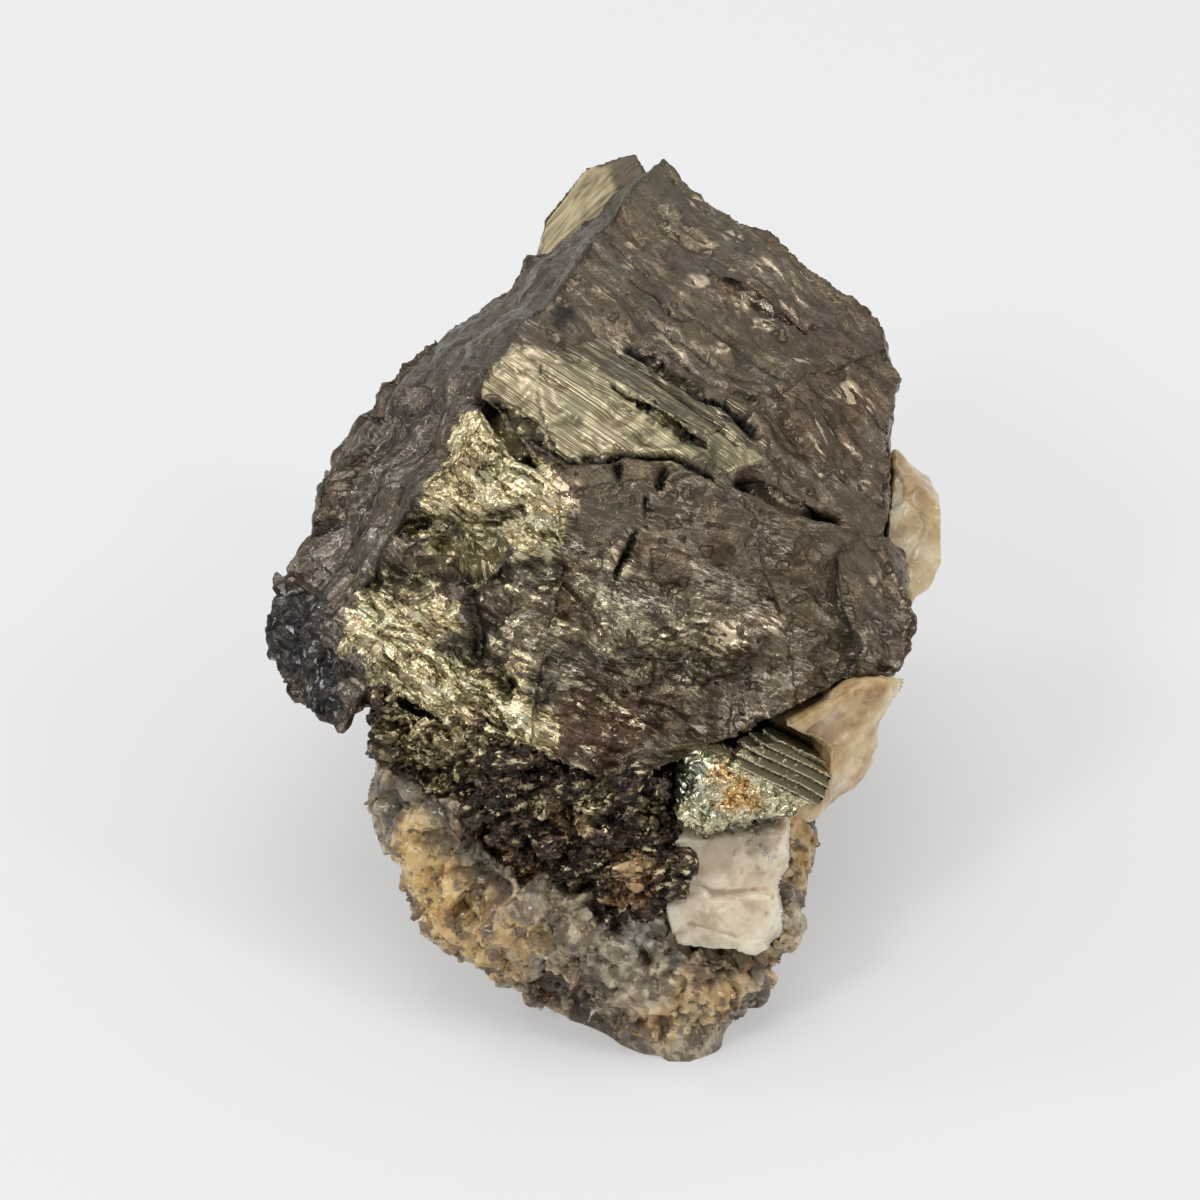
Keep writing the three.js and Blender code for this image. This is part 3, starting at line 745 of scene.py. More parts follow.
def makeCrystal():
    piece, points, normals = remeshed("tarnished_crystal", "cubanite_crystal", crystal["voxel"])
    names = list(crystalSides)
    outs = np.array([facing(*crystalSides[name][:2]) for name in names])
    weights = np.exp(crystal["edgeSharpness"] * (normals @ outs.T))
    weights /= weights.sum(axis=1, keepdims=True)
    share = {name: weights[:, i] for i, name in enumerate(names)}
    owner = ((normals + wanderAt(points, 0.45, 44) * 0.35) @ outs.T).argmax(axis=1)
    brass, polish = brassAt(points)
    owner[polish > 0.5] = names.index("bevel")
    depth, crest = np.zeros(len(points)), np.zeros(len(points))
    traits = {name: np.zeros(len(points)) for name in ("wild", "tilt", "wrinkleHighlight")}
    streaks = np.zeros((len(points), 3))
    for i, (*angles, pattern) in enumerate(crystalSides.values()):
        recipe = crystalPatterns[pattern]
        local = points @ axesOf(*angles).T
        streaks[owner == i] = local[owner == i] * (recipe.get("even", 1), 1, 1)
        near = weights[:, i] > 0.02
        if near.any():
            deep, high = reliefOf(local[near], recipe, i)
            depth[near] += weights[near, i] * deep
            crest[near] += weights[near, i] * high
            for name, values in traits.items():
                values[near] += weights[near, i] * recipe[name]
    wild = np.maximum(traits["wild"], 0.8) * (1 - polish)
    tilt = np.maximum(traits["tilt"], 0.2) * (1 - 0.7 * polish)
    crest = 0.55 * crest + 0.45 * smooth(noiseAt(streaks, (4, 0.35, 0.35), 69), -0.35, 0.35)
    folds = smooth(noiseAt(points, 1.3, 64) + 0.6 * noiseAt(points, 0.4, 65), -0.1, 0.35)
    edge = smooth(1 - weights.max(axis=1), 0.05, 0.6)
    chips = smooth(noiseAt(points, 0.9, 71), -0.1, 0.5)
    chips += 0.5 * smooth(noiseAt(points, 0.35, 72), 0, 0.5)
    depth += edge * chips * crystal["chips"] + hollowsAt(points, crystalHollows)
    calm = spotsAt(points, crystalCalm)
    depth *= 1 - 0.8 * calm
    wandered = points + wanderAt(points, 0.7, 50) * crystal["crackWander"] * (1 - 0.8 * polish[:, None])
    crack = np.zeros(len(points))
    for line, width, drop, black in crystalLines:
        away = lineDistance(wandered * squeeze, np.array(line) * squeeze)
        closeness = np.exp(-((away / width) ** 2))
        depth += closeness * drop
        crack = np.maximum(crack, smooth(closeness, 0.2, 0.65) * black)
    bend = (wanderAt(points, 3.0, 81) + wanderAt(points, 1.1, 82) * 0.4) * (0.4 + 0.6 * wild[:, None])
    bend *= 1 - smooth(polish, 0.0, 0.6)[:, None]
    sink(piece, points + bend * crystal["bend"], normals, depth + 0.05)
    soften(piece, crystal["softening"])
    straight = pointsOf(piece) @ axesOf(*crystalSides["bevel"][:3]).T * (1, 1, 0.1)
    streaks = np.where(polish[:, None] > 0.5, straight, streaks)
    # rows of flecks on the top and the slope, painted as glints
    paintedGlints = smooth(noiseAt(streaks, (0.9, 0.22, 0.22), 66), 0.25, 0.45)
    paintedGlints *= smooth(noiseAt(points, 2.2, 67) - 0.05 * np.maximum(points[:, 1] - 5, 0), 0.1, 0.4)
    paintedGlints *= share["top"] + share["slope"]
    rim = share["frontUnder"] + share["leftUnder"]
    marks = spotMarks(points, crystalSpots)
    setMarks(piece, marks | {
        "streaks": streaks, "brass": brass, "crack": crack, "crest": crest, "wild": wild,
        "tilt": tilt * (1 - 0.6 * calm),
        "wrinkleHighlight": traits["wrinkleHighlight"] * folds * (1 - calm),
        "grey": sum(share[name] for name in greySides),
        "gleam": np.maximum(marks["gleam"], paintedGlints),
        "grains": rim * smooth(-points[:, 1], 5.5, 7.5),
    })
    seen = smooth(normals @ facing(180, 45), -0.45, 0.1)
    finish = newFinish("tarnished_cubanite", tarnishedCubanite)
    finishPiece(scatterGrains(piece, "rim_crumbs", rimCrumbs), finish)
    finishPiece(piece, finish, ["cubanite_crystal"], keep=0.3 + 0.7 * seen)


def tarnishedCubanite(tree):
    place, streaks = inMillimetres(tree), markOf(tree, "streaks", "Vector")
    names = ("brass", "crest", "wild", "tilt", "gleam")
    brass, crest, wild, tilt, gleam = (markOf(tree, name) for name in names)
    brushed = useGroup("hackles", Vector=streaks, Length=12.0, Width=0.055)
    flakes = useGroup("facets", Vector=streaks, Length=0.85, Width=0.34, Warp=1.0, Tilt=tilt)
    facets = useGroup(
        "facets", Vector=streaks, Length=0.38, Width=0.12, Warp=0.9, Tilt=tilt, Lean=flakes["Lean"],
    )
    grit = cloudOver(Vector=streaks, Scale=9.0, Detail=1.0, Roughness=0.7)
    fine = mixed(wild, brushed["Fine"], grit)
    tone = mixed(0.6, flakes["Tone"], facets["Tone"])
    # Crests of the relief come out lighter and its valleys darker: partly wear, partly painted shade.
    broad = mixed(wild, brushed["Fine"], mixed(0.65, crest, tone))
    height = mixed(0.35, broad, fine)
    contrast = mixed(wild, 0.95, ranged(tilt, 0.15, 0.45, 0.55, 1.2))
    height = added(multiplied(added(height, -0.44), contrast), 0.44)
    height = added(height, ranged(wild, 0.0, 0.5, -0.07, 0.0))
    seams = multiplied(wild, facets["Seam"])
    bright = added(height, multiplied(seams, -0.25))
    dull = added(height, multiplied(seams, -0.08))
    purple = useGroup("stain", Vector=place, Size=3.5, Level=0.5, Edge=0.2)["Mask"]
    brown = useGroup("stain", Vector=place, Size=1.3, Level=0.5, Edge=0.14)["Mask"]
    tarnish = ramp(dull, [
        (0.22, 0.038, 0.025, 0.015), (0.42, 0.125, 0.092, 0.061), (0.6, 0.222, 0.17, 0.113),
        (0.74, 0.46, 0.39, 0.30),
    ])
    grey = multiplied(markOf(tree, "grey"), 0.8)
    tarnish = blended(grey, tarnish, (0.84, 0.93, 1.14), "MULTIPLY")
    # The wrinkles' seams are painted a light cream: a painted highlight along the crinkles.
    highlitWrinkles = multiplied(markOf(tree, "wrinkleHighlight"), ranged(facets["Seam"], 0.3, 0.6))
    sooty = ramp(facets["Tone"], [
        (0.2, 0.025, 0.022, 0.02), (0.8, 0.085, 0.078, 0.072), (0.97, 0.36, 0.36, 0.37),
    ])
    tarnish = layered(tarnish, [
        (highlitWrinkles, 1, (0.56, 0.50, 0.415)),
        (purple, 0.4, (0.10, 0.080, 0.068)),
        (brown, 0.55, (0.112, 0.076, 0.042)),
        ("olive", 0.7, (0.14, 0.12, 0.078)),
        ("rust", 0.9, (0.066, 0.035, 0.019)),
        ("sugar", 1, sooty),
    ])
    gilded = ramp(bright, [
        (0.2, 0.05, 0.037, 0.02), (0.33, 0.22, 0.175, 0.095), (0.46, 0.47, 0.40, 0.245),
        (0.66, 0.82, 0.75, 0.56),
    ])
    hues = ramp(flakes["Tone"], [
        (0.1, 0.42, 0.52, 0.42), (0.35, 0.5, 0.45, 0.28), (0.7, 0.6, 0.5, 0.27),
        (0.95, 0.6, 0.42, 0.30),
    ])
    gilded = blended(multiplied(wild, 0.3), gilded, hues, "OVERLAY")
    gilded = layered(gilded, [
        (brown, 0.35, (0.17, 0.145, 0.08)),
        ("olive", 0.75, (0.17, 0.155, 0.095)),
    ])
    gilt = ranged(added(brass, added(bright, -0.42)), 0.35, 0.55)
    # Painted highlights: cream glints where the gleam spots and the rows of flecks lie.
    glints = multiplied(gleam, ranged(facets["Tone"], 0.45, 0.6))
    colour = layered(tarnish, [
        (gilt, 1, gilded),
        (glints, 1, (0.86, 0.69, 0.48)),
        # near-black spots, painted shade where they lie in the hollows
        ("dark_patches_and_shade", 0.85, (0.012, 0.013, 0.018)),
        ("crack", 1, (0.006, 0.005, 0.004)),
    ])
    return {
        "Base Color": colour,
        "Metallic": ranged(gilt, 0, 1, 0.75, 1.0),
        "Roughness": ranged(fine, 0.35, 0.65, 0.42, 0.24),
        "Normal": bumped(0.04, fine, facets["Normal"]),
    }


# The smaller crystals.

blade = {
    "voxel": 0.07, "axes": (200, 45, 60), "rimFrom": 16.3,
    "relief": {"wander": (2, 0.1), "swells": [(3.5, 1.5, 0.15)], "steps": [(7, 0.6, 4, 0.14)]},
}
fan = {
    "voxel": 0.045, "swell": 0.05, "axes": (250, 51, 16),
    "rises": [(2.9, -8.3, 8.1, 1.1, -0.45), (3.6, -9.0, 8.4, 0.8, -0.2)],
    "barWidth": 0.3, "barDepth": 0.12, "barEdge": (4.1, -9.5, 8.6),
    "shadeTop": (6.85, 7.25),          # its foot is in the dark up to here
    "relief": {
        "wander": (3, 0.03), "swells": [(2, 0.8, 0.1)],
        "shards": [(0.5, 0.3, 0.12), (0.25, 0.18, 0.05)],
    },
}
fanSpots = {
    "teal": [(2.4, -9.4, 8.2, 0.7, 0.6), (3, -9.8, 7.6, 0.5, 0.3)],
    "orange": [(3.7, -9.7, 8, 0.65, 1), (4.2, -9.6, 7.6, 0.5, 0.8), (3.2, -9.5, 8.3, 0.3, 0.7)],
}


def makeBlade():
    piece, points, normals = remeshed("brassy_blade", "cubanite_back_blade", blade["voxel"])
    local = points @ axesOf(*blade["axes"]).T
    depth, _ = reliefOf(local, blade["relief"], 3)
    sink(piece, points, normals, depth + 0.05)
    upper = (points[:, 0] + points[:, 2] - blade["rimFrom"]) * 0.7
    upper += noiseAt(local, (3, 0.7, 0.7), 8) * 0.6
    setMarks(piece, {
        "streaks": local,
        "rim": np.maximum(smooth(upper, 0.0, 0.3), smooth(normals[:, 1], 0.1, 0.5)),
    })
    finish = newFinish("brassy_blade", brassyBlade)
    finishPiece(piece, finish, ["cubanite_back_blade"])


def brassyBlade(tree):
    lines = useGroup("hackles", Vector=markOf(tree, "streaks", "Vector"), Length=3.0, Width=0.2)["Fine"]
    colour = ramp(lines, [
        (0.3, 0.22, 0.175, 0.10), (0.48, 0.37, 0.305, 0.18), (0.65, 0.48, 0.41, 0.26),
    ])
    return {
        "Base Color": layered(colour, [("rim", 0.95, (0.115, 0.087, 0.062))]),
        "Metallic": 0.75, "Roughness": 0.48, "Normal": bumped(0.02, lines),
    }


def makeFan():
    piece, points, normals = remeshed("bronze_fan", "cubanite_fan", fan["voxel"], fan["swell"])
    local = points @ axesOf(*fan["axes"]).T
    depth, crest = reliefOf(local, fan["relief"], 5)
    across = local[:, 1] - axesOf(*fan["axes"])[1] @ np.array(fan["barEdge"])
    bars = smooth(across, -0.05, 0.05)
    phase = (across / fan["barWidth"] + noiseAt(local, (8, 2, 2), 2) * 0.4) % 1
    depth = depth * (1 - 0.8 * bars) + bars * phase * fan["barDepth"] + hollowsAt(points, fan["rises"])
    sink(piece, points, normals, depth)
    setMarks(piece, spotMarks(points, fanSpots) | {
        "streaks": local, "bars": bars, "crest": np.where(bars > 0.5, 1 - phase, crest),
        "shade": 1 - smooth(points[:, 2] + 0.3 * noiseAt(points, 0.8, 7), *fan["shadeTop"]),
    })
    finish = newFinish("bronze_fan", bronzeFan)
    finishPiece(piece, finish, ["cubanite_fan"])


def bronzeFan(tree):
    place, bars = inMillimetres(tree), markOf(tree, "bars")
    facets = useGroup(
        "facets", Vector=markOf(tree, "streaks", "Vector"), Length=0.4, Width=0.14, Warp=1.2, Tilt=0.26,
    )
    cloud = cloudOver(Vector=place, Scale=1.6, Detail=4.0, Distortion=0.8)
    tone = mixed(0.45, cloud, facets["Tone"])
    broken = ramp(tone, [(0.2, 0.26, 0.24, 0.14), (0.5, 0.74, 0.65, 0.40), (0.75, 0.95, 0.88, 0.64)])
    teal = ramp(tone, [(0.2, 0.09, 0.14, 0.13), (0.5, 0.32, 0.41, 0.34), (0.75, 0.66, 0.76, 0.62)])
    orange = ramp(tone, [(0.2, 0.40, 0.17, 0.045), (0.5, 0.82, 0.50, 0.20), (0.75, 0.95, 0.80, 0.45)])
    striped = ramp(markOf(tree, "crest"), [
        (0.06, 0.02, 0.016, 0.01), (0.2, 0.14, 0.115, 0.065), (0.8, 0.24, 0.20, 0.125),
        (0.93, 0.75, 0.66, 0.46),
    ])
    colour = layered(broken, [
        ("teal", 1, teal),
        ("orange", 1, orange),
        (facets["Seam"], 0.75, (0.05, 0.04, 0.02)),
        (bars, 1, striped),
        ("shade", 0.9, (0.02, 0.015, 0.01)),
    ])
    flat = addNode(tree, "ShaderNodeNewGeometry").outputs["Normal"]
    normal = addNode(tree, "ShaderNodeMix", {0: bars, 4: facets["Normal"], 5: flat}, data_type="VECTOR")
    return {
        "Base Color": colour, "Metallic": 0.95, "Roughness": 0.26, "Normal": normal.outputs[1],
    }


# The pale stones.

def paleStone(tree, dark, body, light, stained, subsurface, grain):
    # a translucent stone from its dark to its light colour, its stains' colour, how much light
    # goes through it and the size of its glassy faces
    place = inMillimetres(tree)
    facets = useGroup("facets", Vector=place, Length=grain, Width=grain, Warp=0.8, Tilt=0.34)
    stains = useGroup("stain", Vector=place, Size=1.6, Level=0.54, Edge=0.2)
    cloud = cloudOver(Vector=place, Scale=0.9, Detail=4.0, Roughness=0.6)
    tone = mixed(0.08, cloud, facets["Tone"])
    colour = layered(ramp(tone, [(0.32, *dark), (0.5, *body), (0.66, *light)]), [
        (facets["Seam"], 0.22, light),
        (stains["Mask"], 0.6, stained),
        # stained crevices, darker as painted shade, and the painted shadow of the shade spots
        ("crevice_dirt_and_shade", 0.5, tuple(part * 0.5 for part in stained)),
    ])
    return {
        "Base Color": colour,
        "Subsurface Weight": subsurface, "Subsurface Scale": 1 * millimetre,
        "Subsurface Radius": (1.0, 0.8, 0.6),
        "Coat Weight": 0.5, "Coat Roughness": 0.15,
        "Roughness": ranged(facets["Tone"], 0.2, 0.9, 0.5, 0.12),
        "Normal": bumped(0.04, cloud, facets["Normal"]),
    }


paleStones = {
    "cream_carbonate": {
        "node": "cream_carbonate", "voxel": 0.065, "swell": 0.1,
        "relief": {
            "wander": (1.6, 0.3), "swells": [(2.2, 2.2, 0.35), (0.9, 0.9, 0.1)],
            "shards": [(1.7, 1.7, 0.07), (0.6, 0.6, 0.04)],
        },
        "colours": [(0.34, 0.20, 0.08), (0.57, 0.40, 0.19), (0.77, 0.62, 0.39), (0.34, 0.175, 0.06)],
        "subsurface": 0.5, "grain": 0.5,
    },
    "tan_carbonate": {
        "node": "flank_carbonate", "voxel": 0.065, "swell": 0.08,
        "relief": {
            "wander": (1.6, 0.3), "swells": [(2.4, 2.4, 0.25)],
            "shards": [(1.8, 1.8, 0.07), (0.6, 0.6, 0.04)],
        },
        "colours": [(0.36, 0.25, 0.12), (0.60, 0.45, 0.24), (0.74, 0.64, 0.44), (0.44, 0.25, 0.09)],
        "subsurface": 0.5, "grain": 0.5,
    },
    "white_calcite": {
        "node": "calcite_cleavage", "voxel": 0.055, "swell": 0.18,
        "relief": {
            "wander": (1.5, 0.1), "swells": [(2.5, 2.5, 0.1)],
            "shards": [(1.5, 1.1, 0.06), (0.5, 0.5, 0.03)],
        },
        "colours": [(0.46, 0.37, 0.255), (0.74, 0.63, 0.46), (0.90, 0.81, 0.65), (0.56, 0.41, 0.24)],
        "subsurface": 0.7, "grain": 0.3,
        "lines": [
            ([(2.1, -10.9, 5.6), (3.1, -10.8, 5.1), (4.7, -10.4, 4.9)], 0.07, 0.25),
            ([(2.4, -11.4, 4.4), (3.8, -11.4, 3.9), (4.6, -10.8, 4.2)], 0.06, 0.15),
        ],
        "shade": [(2.6, -10.6, 6.3, 0.7, 0.9), (3.4, -10.4, 6.5, 0.7, 0.9), (4.4, -10, 6.6, 0.6, 0.8)],
        "grains": [(4.9, -10.2, 5.7, 1.1, 1), (4.3, -9.9, 6.4, 0.9, 1), (4.9, -10.3, 4.4, 0.7, 0.8)],
    },
}


def makePaleStones():
    for slot, stone in paleStones.items():
        piece, points, normals = remeshed(
            slot + "_lump", stone["node"], stone["voxel"], stone["swell"],
        )
        depth, _ = reliefOf(points, stone["relief"], 3)
        for line, width, drop in stone.get("lines", ()):
            depth += drop * np.exp(-((lineDistance(points, line) / width) ** 2))
        sink(piece, points + wanderAt(points, 1.4, 12) * 0.15, normals, depth)
        soften(piece, 2)
        # Crevices and the shade spots below the fan are marked to be painted darker: painted shade,
        # with staining in the crevices.
        shade = spotsAt(points, stone.get("shade", ()))
        setMarks(piece, {"crevice_dirt_and_shade": np.maximum(smooth(depth, 0.1, 0.35), shade)})
        details = (*stone["colours"], stone["subsurface"], stone["grain"])
        finish = newFinish(slot, paleStone, *details)
        if "grains" in stone:
            setMarks(piece, {"grains": spotsAt(points, stone["grains"])})
            finishPiece(scatterGrains(piece, slot + "_grains", stoneGrains), finish)
        finishPiece(piece, finish, [stone["node"]])


# The dark sulphide crust.

sulphide = {
    "voxel": 0.07, "swell": 0.25,
    "relief": {
        "wander": (0.8, 0.4), "swells": [(1.4, 1.4, 0.9), (0.6, 0.6, 0.4)],
        "shards": [(0.55, 0.55, 0.35), (0.25, 0.25, 0.14)],
    },
}
sulphideSpots = {
    "rust": [(0.6, -11.1, 5.7, 0.9, 1), (-2.6, -10.3, 5.6, 0.9, 0.8), (-1.2, -9.9, 7.2, 0.6, 0.6)],
    "gilt": [
        (-5.2, -7.9, 8.4, 1.6, 1), (-2.1, -9.7, 7.5, 0.5, 0.8), (-0.6, -9.8, 8, 0.6, 0.9),
        (1.5, -10, 7.6, 0.6, 0.6),
    ],
}


def makeSulphide():
    piece, points, normals = remeshed(
        "dark_sulphide_crust", "sulphide_crust", sulphide["voxel"], sulphide["swell"],
    )
    depth, _ = reliefOf(points, sulphide["relief"], 6)
    sink(piece, points, normals, depth)
    # The crevices are marked to be painted near black: painted shade.
    setMarks(piece, spotMarks(points, sulphideSpots) | {
        "crevice_dirt_and_shade": smooth(depth, 0.1, 0.6), "grains": np.ones(len(points)),
    })
    finish = newFinish("dark_sulphide", darkSulphide)
    finishPiece(scatterGrains(piece, "sulphide_crumbs", sulphideCrumbs), finish)
    finishPiece(piece, finish, ["sulphide_crust"])


def darkSulphide(tree):
    place = inMillimetres(tree)
    flakes = useGroup("facets", Vector=place, Length=0.6, Width=0.3, Warp=1.6, Tilt=0.7)
    facets = useGroup(
        "facets", Vector=place, Length=0.24, Width=0.12, Warp=1.2, Tilt=0.8, Lean=flakes["Lean"],
    )
    tone = mixed(0.55, flakes["Tone"], facets["Tone"])
    tone = added(tone, multiplied(flakes["Seam"], -0.3))
    # Its top stop paints small white-gold glints across the crust: painted highlights.
    dark = ramp(tone, [
        (0.2, 0.014, 0.008, 0.005), (0.55, 0.062, 0.034, 0.019), (0.74, 0.22, 0.15, 0.085),
        (0.84, 0.85, 0.72, 0.46),
    ])
    rust = ramp(tone, [
        (0.2, 0.07, 0.032, 0.014), (0.45, 0.32, 0.18, 0.08), (0.75, 0.60, 0.42, 0.21),
    ])
    gold = ramp(tone, [
        (0.15, 0.03, 0.02, 0.01), (0.4, 0.2, 0.15, 0.078), (0.58, 0.46, 0.38, 0.21),
        (0.78, 0.85, 0.76, 0.52),
    ])
    # near-black crevices: painted shade
    layers = [("rust", 1, rust), ("gilt", 1, gold), ("crevice_dirt_and_shade", 0.6, (0.008, 0.005, 0.004))]
    return {
        "Base Color": layered(dark, layers),
        "Metallic": ranged(markOf(tree, "gilt"), 0, 1, 0.4, 0.95),
        "Roughness": 0.3,
        "Normal": bumped(0.03, tone, facets["Normal"]),
    }


# The vein rock.

rock = {
    "voxel": 0.1, "swell": 0.18,
    "relief": {
        "wander": (0.9, 0.3), "swells": [(2.6, 2.6, 0.8), (1.0, 1.0, 0.35)],
        "shards": [(1.3, 1.3, 0.4), (0.5, 0.5, 0.16)], "pits": [(0.7, 0.7, 0.25)],
    },
    "beads": (0.55, 0.2),              # the size and height of the quartz's round beads
    "middle": (0.8, -4.0, 0),          # its foot is worn back towards here
    "foot": (0.02, 0.6),               # the heights between which its roughness begins
    "low": (0.4, 1.6),                 # and between which the worn foot ends
    "behind": (-7.5, -5.0),            # where the back's patches of colour begin
}
rockHollows = [
    (-2.2, -12, 0.2, 1.6, 1.2), (-0.4, -12.2, 0.2, 1, 0.7), (4.6, -11.8, 0.3, 1.5, 1.3),
    (-0.5, -11.2, 4.4, 0.5, 0.7),
]
rockSpots = {
    "ochre": [
        (-5.3, -9.3, 5.2, 1.5, 1), (-4.7, -9.7, 4, 1.3, 1), (-4, -10.2, 3, 1.1, 0.9),
        (-2.4, -11.3, 3.9, 0.9, 0.8), (2.6, -12.2, 2.2, 1.3, 0.6), (1.6, -12.2, 1.2, 0.9, 0.6),
        (-2.8, -10.8, 2.4, 0.9, 0.6),
    ],
    "tan": [
        (3.9, -11.3, 3.2, 1.1, 1), (4.8, -10.9, 3, 1, 1), (4.6, -11, 4.4, 0.8, 1),
        (3.6, -11.8, 2, 0.8, 0.8), (-1.4, -11.6, 2.9, 0.8, 0.5),
    ],
    "rust": [
        (-4.6, -9.9, 3.9, 0.4, 0.8), (1.3, -12.1, 1.4, 0.4, 0.9), (-3, -10.6, 5, 0.8, 0.5),
        (2.6, -12, 2.6, 0.3, 0.7), (3.4, -12, 2.1, 0.4, 0.5), (-5.6, -8.9, 3.9, 0.5, 0.4),
    ],
    "milk": [
        (-6, -8, 6.8, 0.5, 0.1), (0.9, -11.5, 4.3, 0.9, 0.7), (-1.6, -11.5, 3.2, 0.7, 0.6),
        (2.2, -12.1, 1, 0.7, 0.4),
    ],
    # near-black spots; the one in the carved hollow is painted shade
    "dark_patches_and_shade": [
        (-0.5, -11.2, 4.4, 0.5, 1), (-0.4, -11.9, 2.4, 0.6, 0.6), (-6.4, -8.3, 6, 0.5, 0.8),
        (-6.1, -8.2, 6.8, 0.9, 0.5), (2, -11.9, 3.7, 0.4, 0.7), (4.6, -10.4, 0.9, 0.8, 0.5),
        (-3.4, -10.5, 5.4, 0.7, 0.7),
    ],
}
# The patches of colour behind: how large and how strong they are.
rockPatches = [("ochre", 3.2, 0.9), ("tan", 2.6, 0.9), ("rust", 1.6, 0.6), ("dark_patches_and_shade", 2.1, 0.8)]


def makeRock():
    piece, points, normals = remeshed("vein_rock_body", "vein_rock", rock["voxel"], rock["swell"])
    depth, _ = reliefOf(points, rock["relief"], 9)
    _, _, tone = shardsAt(points, 0.8, 6)
    above = smooth(points[:, 2], *rock["foot"])
    normals[:, 2] *= above             # near the flat face it rests on, it only moves sideways
    beads = smooth(noiseAt(points, 1.6, 60) + (4.2 - points[:, 2]) * 0.15, -0.1, 0.25)
    depth -= beads * (domesAt(points, rock["beads"][0], 61) - 0.5) * rock["beads"][1]
    hollow = hollowsAt(points, rockHollows)
    low = 1 - smooth(points[:, 2], *rock["low"])
    inward = (np.array(rock["middle"]) - points) * (1, 1, 0)
    inward /= np.linalg.norm(inward, axis=1, keepdims=True) + 1e-6
    sink(piece, points + inward * (hollow * low)[:, None], normals, depth * above + hollow * (1 - low))
    marks = spotMarks(points, rockSpots)
    behind = smooth(points[:, 1], *rock["behind"])
    for seed, (name, size, share) in enumerate(rockPatches):
        patches = share * smooth(noiseAt(points, size, 95 + seed), 0.0, 0.4)
        marks[name] = np.maximum(marks[name], behind * patches)
    # Deep places are marked to be painted darker: dirt and painted shade in the crevices.
    marks |= {"crevice_dirt_and_shade": smooth(depth, 0.12, 0.55), "tone": tone, "grains": above}
    setMarks(piece, marks)
    finish = newFinish("vein_quartz", veinQuartz)
    finishPiece(scatterGrains(piece, "quartz_grains", rockGrains), finish)
    finishPiece(piece, finish, ["vein_rock"])


def veinQuartz(tree):
    place = inMillimetres(tree)
    facets = useGroup("facets", Vector=place, Length=0.26, Width=0.26, Warp=0.6, Tilt=0.5)
    cloud = cloudOver(Vector=place, Scale=2.2, Detail=5.0, Roughness=0.75)
    dirt = useGroup("stain", Vector=place, Size=0.7, Level=0.51, Edge=0.08)
    tint = mixed(0.6, mixed(0.5, markOf(tree, "tone"), facets["Tone"]), cloud)
    body = ramp(tint, [
        (0.28, 0.06, 0.042, 0.024), (0.5, 0.245, 0.185, 0.11), (0.7, 0.61, 0.51, 0.35),
    ])
    milk = ramp(tint, [(0.28, 0.15, 0.135, 0.105), (0.7, 0.60, 0.565, 0.48)])
    tan = ramp(tint, [(0.2, 0.34, 0.22, 0.10), (0.75, 0.74, 0.55, 0.31)])
    ochre = ramp(tint, [
        (0.2, 0.30, 0.16, 0.045), (0.5, 0.62, 0.405, 0.145), (0.75, 0.84, 0.64, 0.34),
    ])
    colour = layered(body, [
        ("milk", 1, milk),
        ("tan", 1, tan),
        ("ochre", 1, ochre),
        ("rust", 0.8, (0.42, 0.19, 0.05)),
        (dirt["Mask"], 0.75, (0.085, 0.05, 0.025)),
        # dark crevices: dirt and painted shade
        ("crevice_dirt_and_shade", 0.8, (0.06, 0.04, 0.024)),
        # near-black spots and patches, with painted shade in the hollow
        ("dark_patches_and_shade", 1, (0.022, 0.017, 0.013)),
    ])
    return {
        "Base Color": colour,
        "Subsurface Weight": 0.25, "Subsurface Scale": 0.4 * millimetre,
        "Coat Weight": 0.5, "Coat Roughness": 0.12,
        "Roughness": ranged(facets["Tone"], 0.2, 0.9, 0.55, 0.15),
        "Normal": bumped(0.04, cloud, facets["Normal"]),
    }


# Small grains that stud a surface.

rockGrains = {"Density": 4.2, "Smallest": 0.04, "Largest": 0.15, "Lumpiness": 0.2, "Seed": 4}
stoneGrains = {"Density": 9.0, "Smallest": 0.04, "Largest": 0.085, "Lumpiness": 0.1, "Seed": 5}
sulphideCrumbs = {"Density": 3.0, "Smallest": 0.03, "Largest": 0.12, "Lumpiness": 0.15, "Seed": 7}
rimCrumbs = {"Density": 2.0, "Smallest": 0.03, "Largest": 0.08, "Lumpiness": 0.15, "Seed": 9}


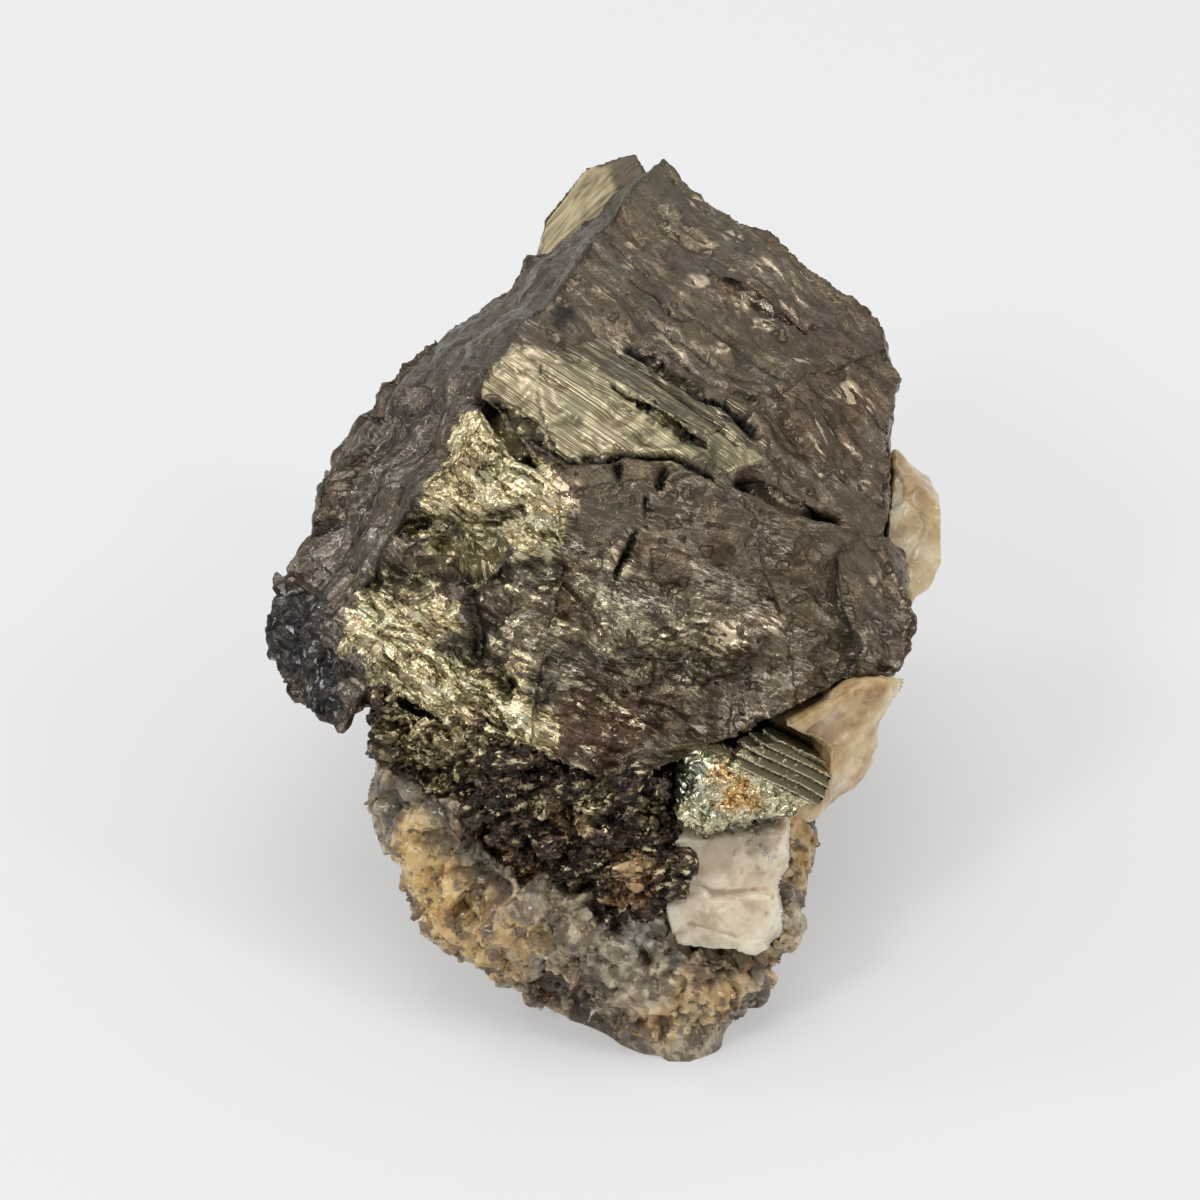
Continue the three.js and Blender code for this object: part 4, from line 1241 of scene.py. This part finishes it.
def makeGrainTree():
    inputs = {"Geometry": None} | dict.fromkeys(rockGrains, 0.0) | {"Seed": 0}
    outputs = {"Geometry": "Geometry"}
    tree, start, end = newGroup("studded grains", inputs, outputs, "GeometryNodeTree")

    def randomOf(kind, inputs):
        inputs["Seed"] = start["Seed"]
        return addNode(tree, "FunctionNodeRandomValue", inputs, data_type=kind).outputs

    where = addNode(tree, "GeometryNodeInputNamedAttribute", {"Name": "grains"}, data_type="FLOAT")
    spread = addNode(tree, "GeometryNodeDistributePointsOnFaces", {
        "Mesh": start["Geometry"], "Density": multiplied(start["Density"], where.outputs[0]),
        "Seed": start["Seed"],
    })
    size = randomOf("FLOAT", {2: start["Smallest"], 3: start["Largest"]})[1]
    shape = randomOf("FLOAT_VECTOR", {0: (0.6, 0.6, 0.6), 1: (1.3, 1.3, 1.3)})[0]
    turn = randomOf("FLOAT_VECTOR", {1: (6.28, 6.28, 6.28)})[0]
    ball = addNode(tree, "GeometryNodeMeshIcoSphere", {"Radius": 1.0, "Subdivisions": 1})
    studs = addNode(tree, "GeometryNodeInstanceOnPoints", {
        "Points": spread.outputs["Points"], "Instance": ball.outputs["Mesh"], "Rotation": turn,
        "Scale": vectorMath("SCALE", shape, size),
    })
    toned = addNode(tree, "GeometryNodeStoreNamedAttribute", {
        "Geometry": studs.outputs[0], "Name": "tone", "Value": randomOf("FLOAT", {})[1],
    }, data_type="FLOAT", domain="INSTANCE")
    solid = addNode(tree, "GeometryNodeRealizeInstances", {"Geometry": toned.outputs[0]})
    lumps = addNode(tree, "ShaderNodeTexNoise", {"Scale": 3.0, "Detail": 1.0}).outputs["Color"]
    push = vectorMath("SCALE", vectorMath("SUBTRACT", lumps, (0.5, 0.5, 0.5)), start["Lumpiness"])
    shaped = addNode(tree, "GeometryNodeSetPosition", {"Geometry": solid.outputs[0], "Offset": push})
    dressed = addNode(tree, "GeometryNodeSetMaterial", {"Geometry": shaped.outputs[0]})
    feed(tree, end, {"Geometry": dressed.outputs[0]})
    return tree


def scatterGrains(host, name, settings):
    # studs a copy of the host's surface and keeps only the grains, with the host's marks
    grains = bpy.data.objects.new(name, host.data.copy())
    bpy.context.scene.collection.objects.link(grains)
    if "tone" in grains.data.attributes:
        grains.data.attributes.remove(grains.data.attributes["tone"])
    modifier = grains.modifiers.new("grains", "NODES")
    modifier.node_group = groups["grains"]
    for item in groups["grains"].interface.items_tree:
        if item.in_out == "INPUT" and item.name in settings:
            modifier[item.identifier] = settings[item.name]
    settle(grains)
    setPoints(grains, pointsOf(grains))
    return grains


# Everything together.

scene = bpy.context.scene
scene.view_settings.view_transform = "Standard"
groups = {
    "hackles": makeHackles(), "facets": makeFacets(), "stain": makeStain(),
    "grains": makeGrainTree(),
}
makeCamera()
makeFloor()
makeLights()
makeRoom()
print("studio ready")
makeCrystal()
makeBlade()
makeFan()
makePaleStones()
makeSulphide()
makeRock()
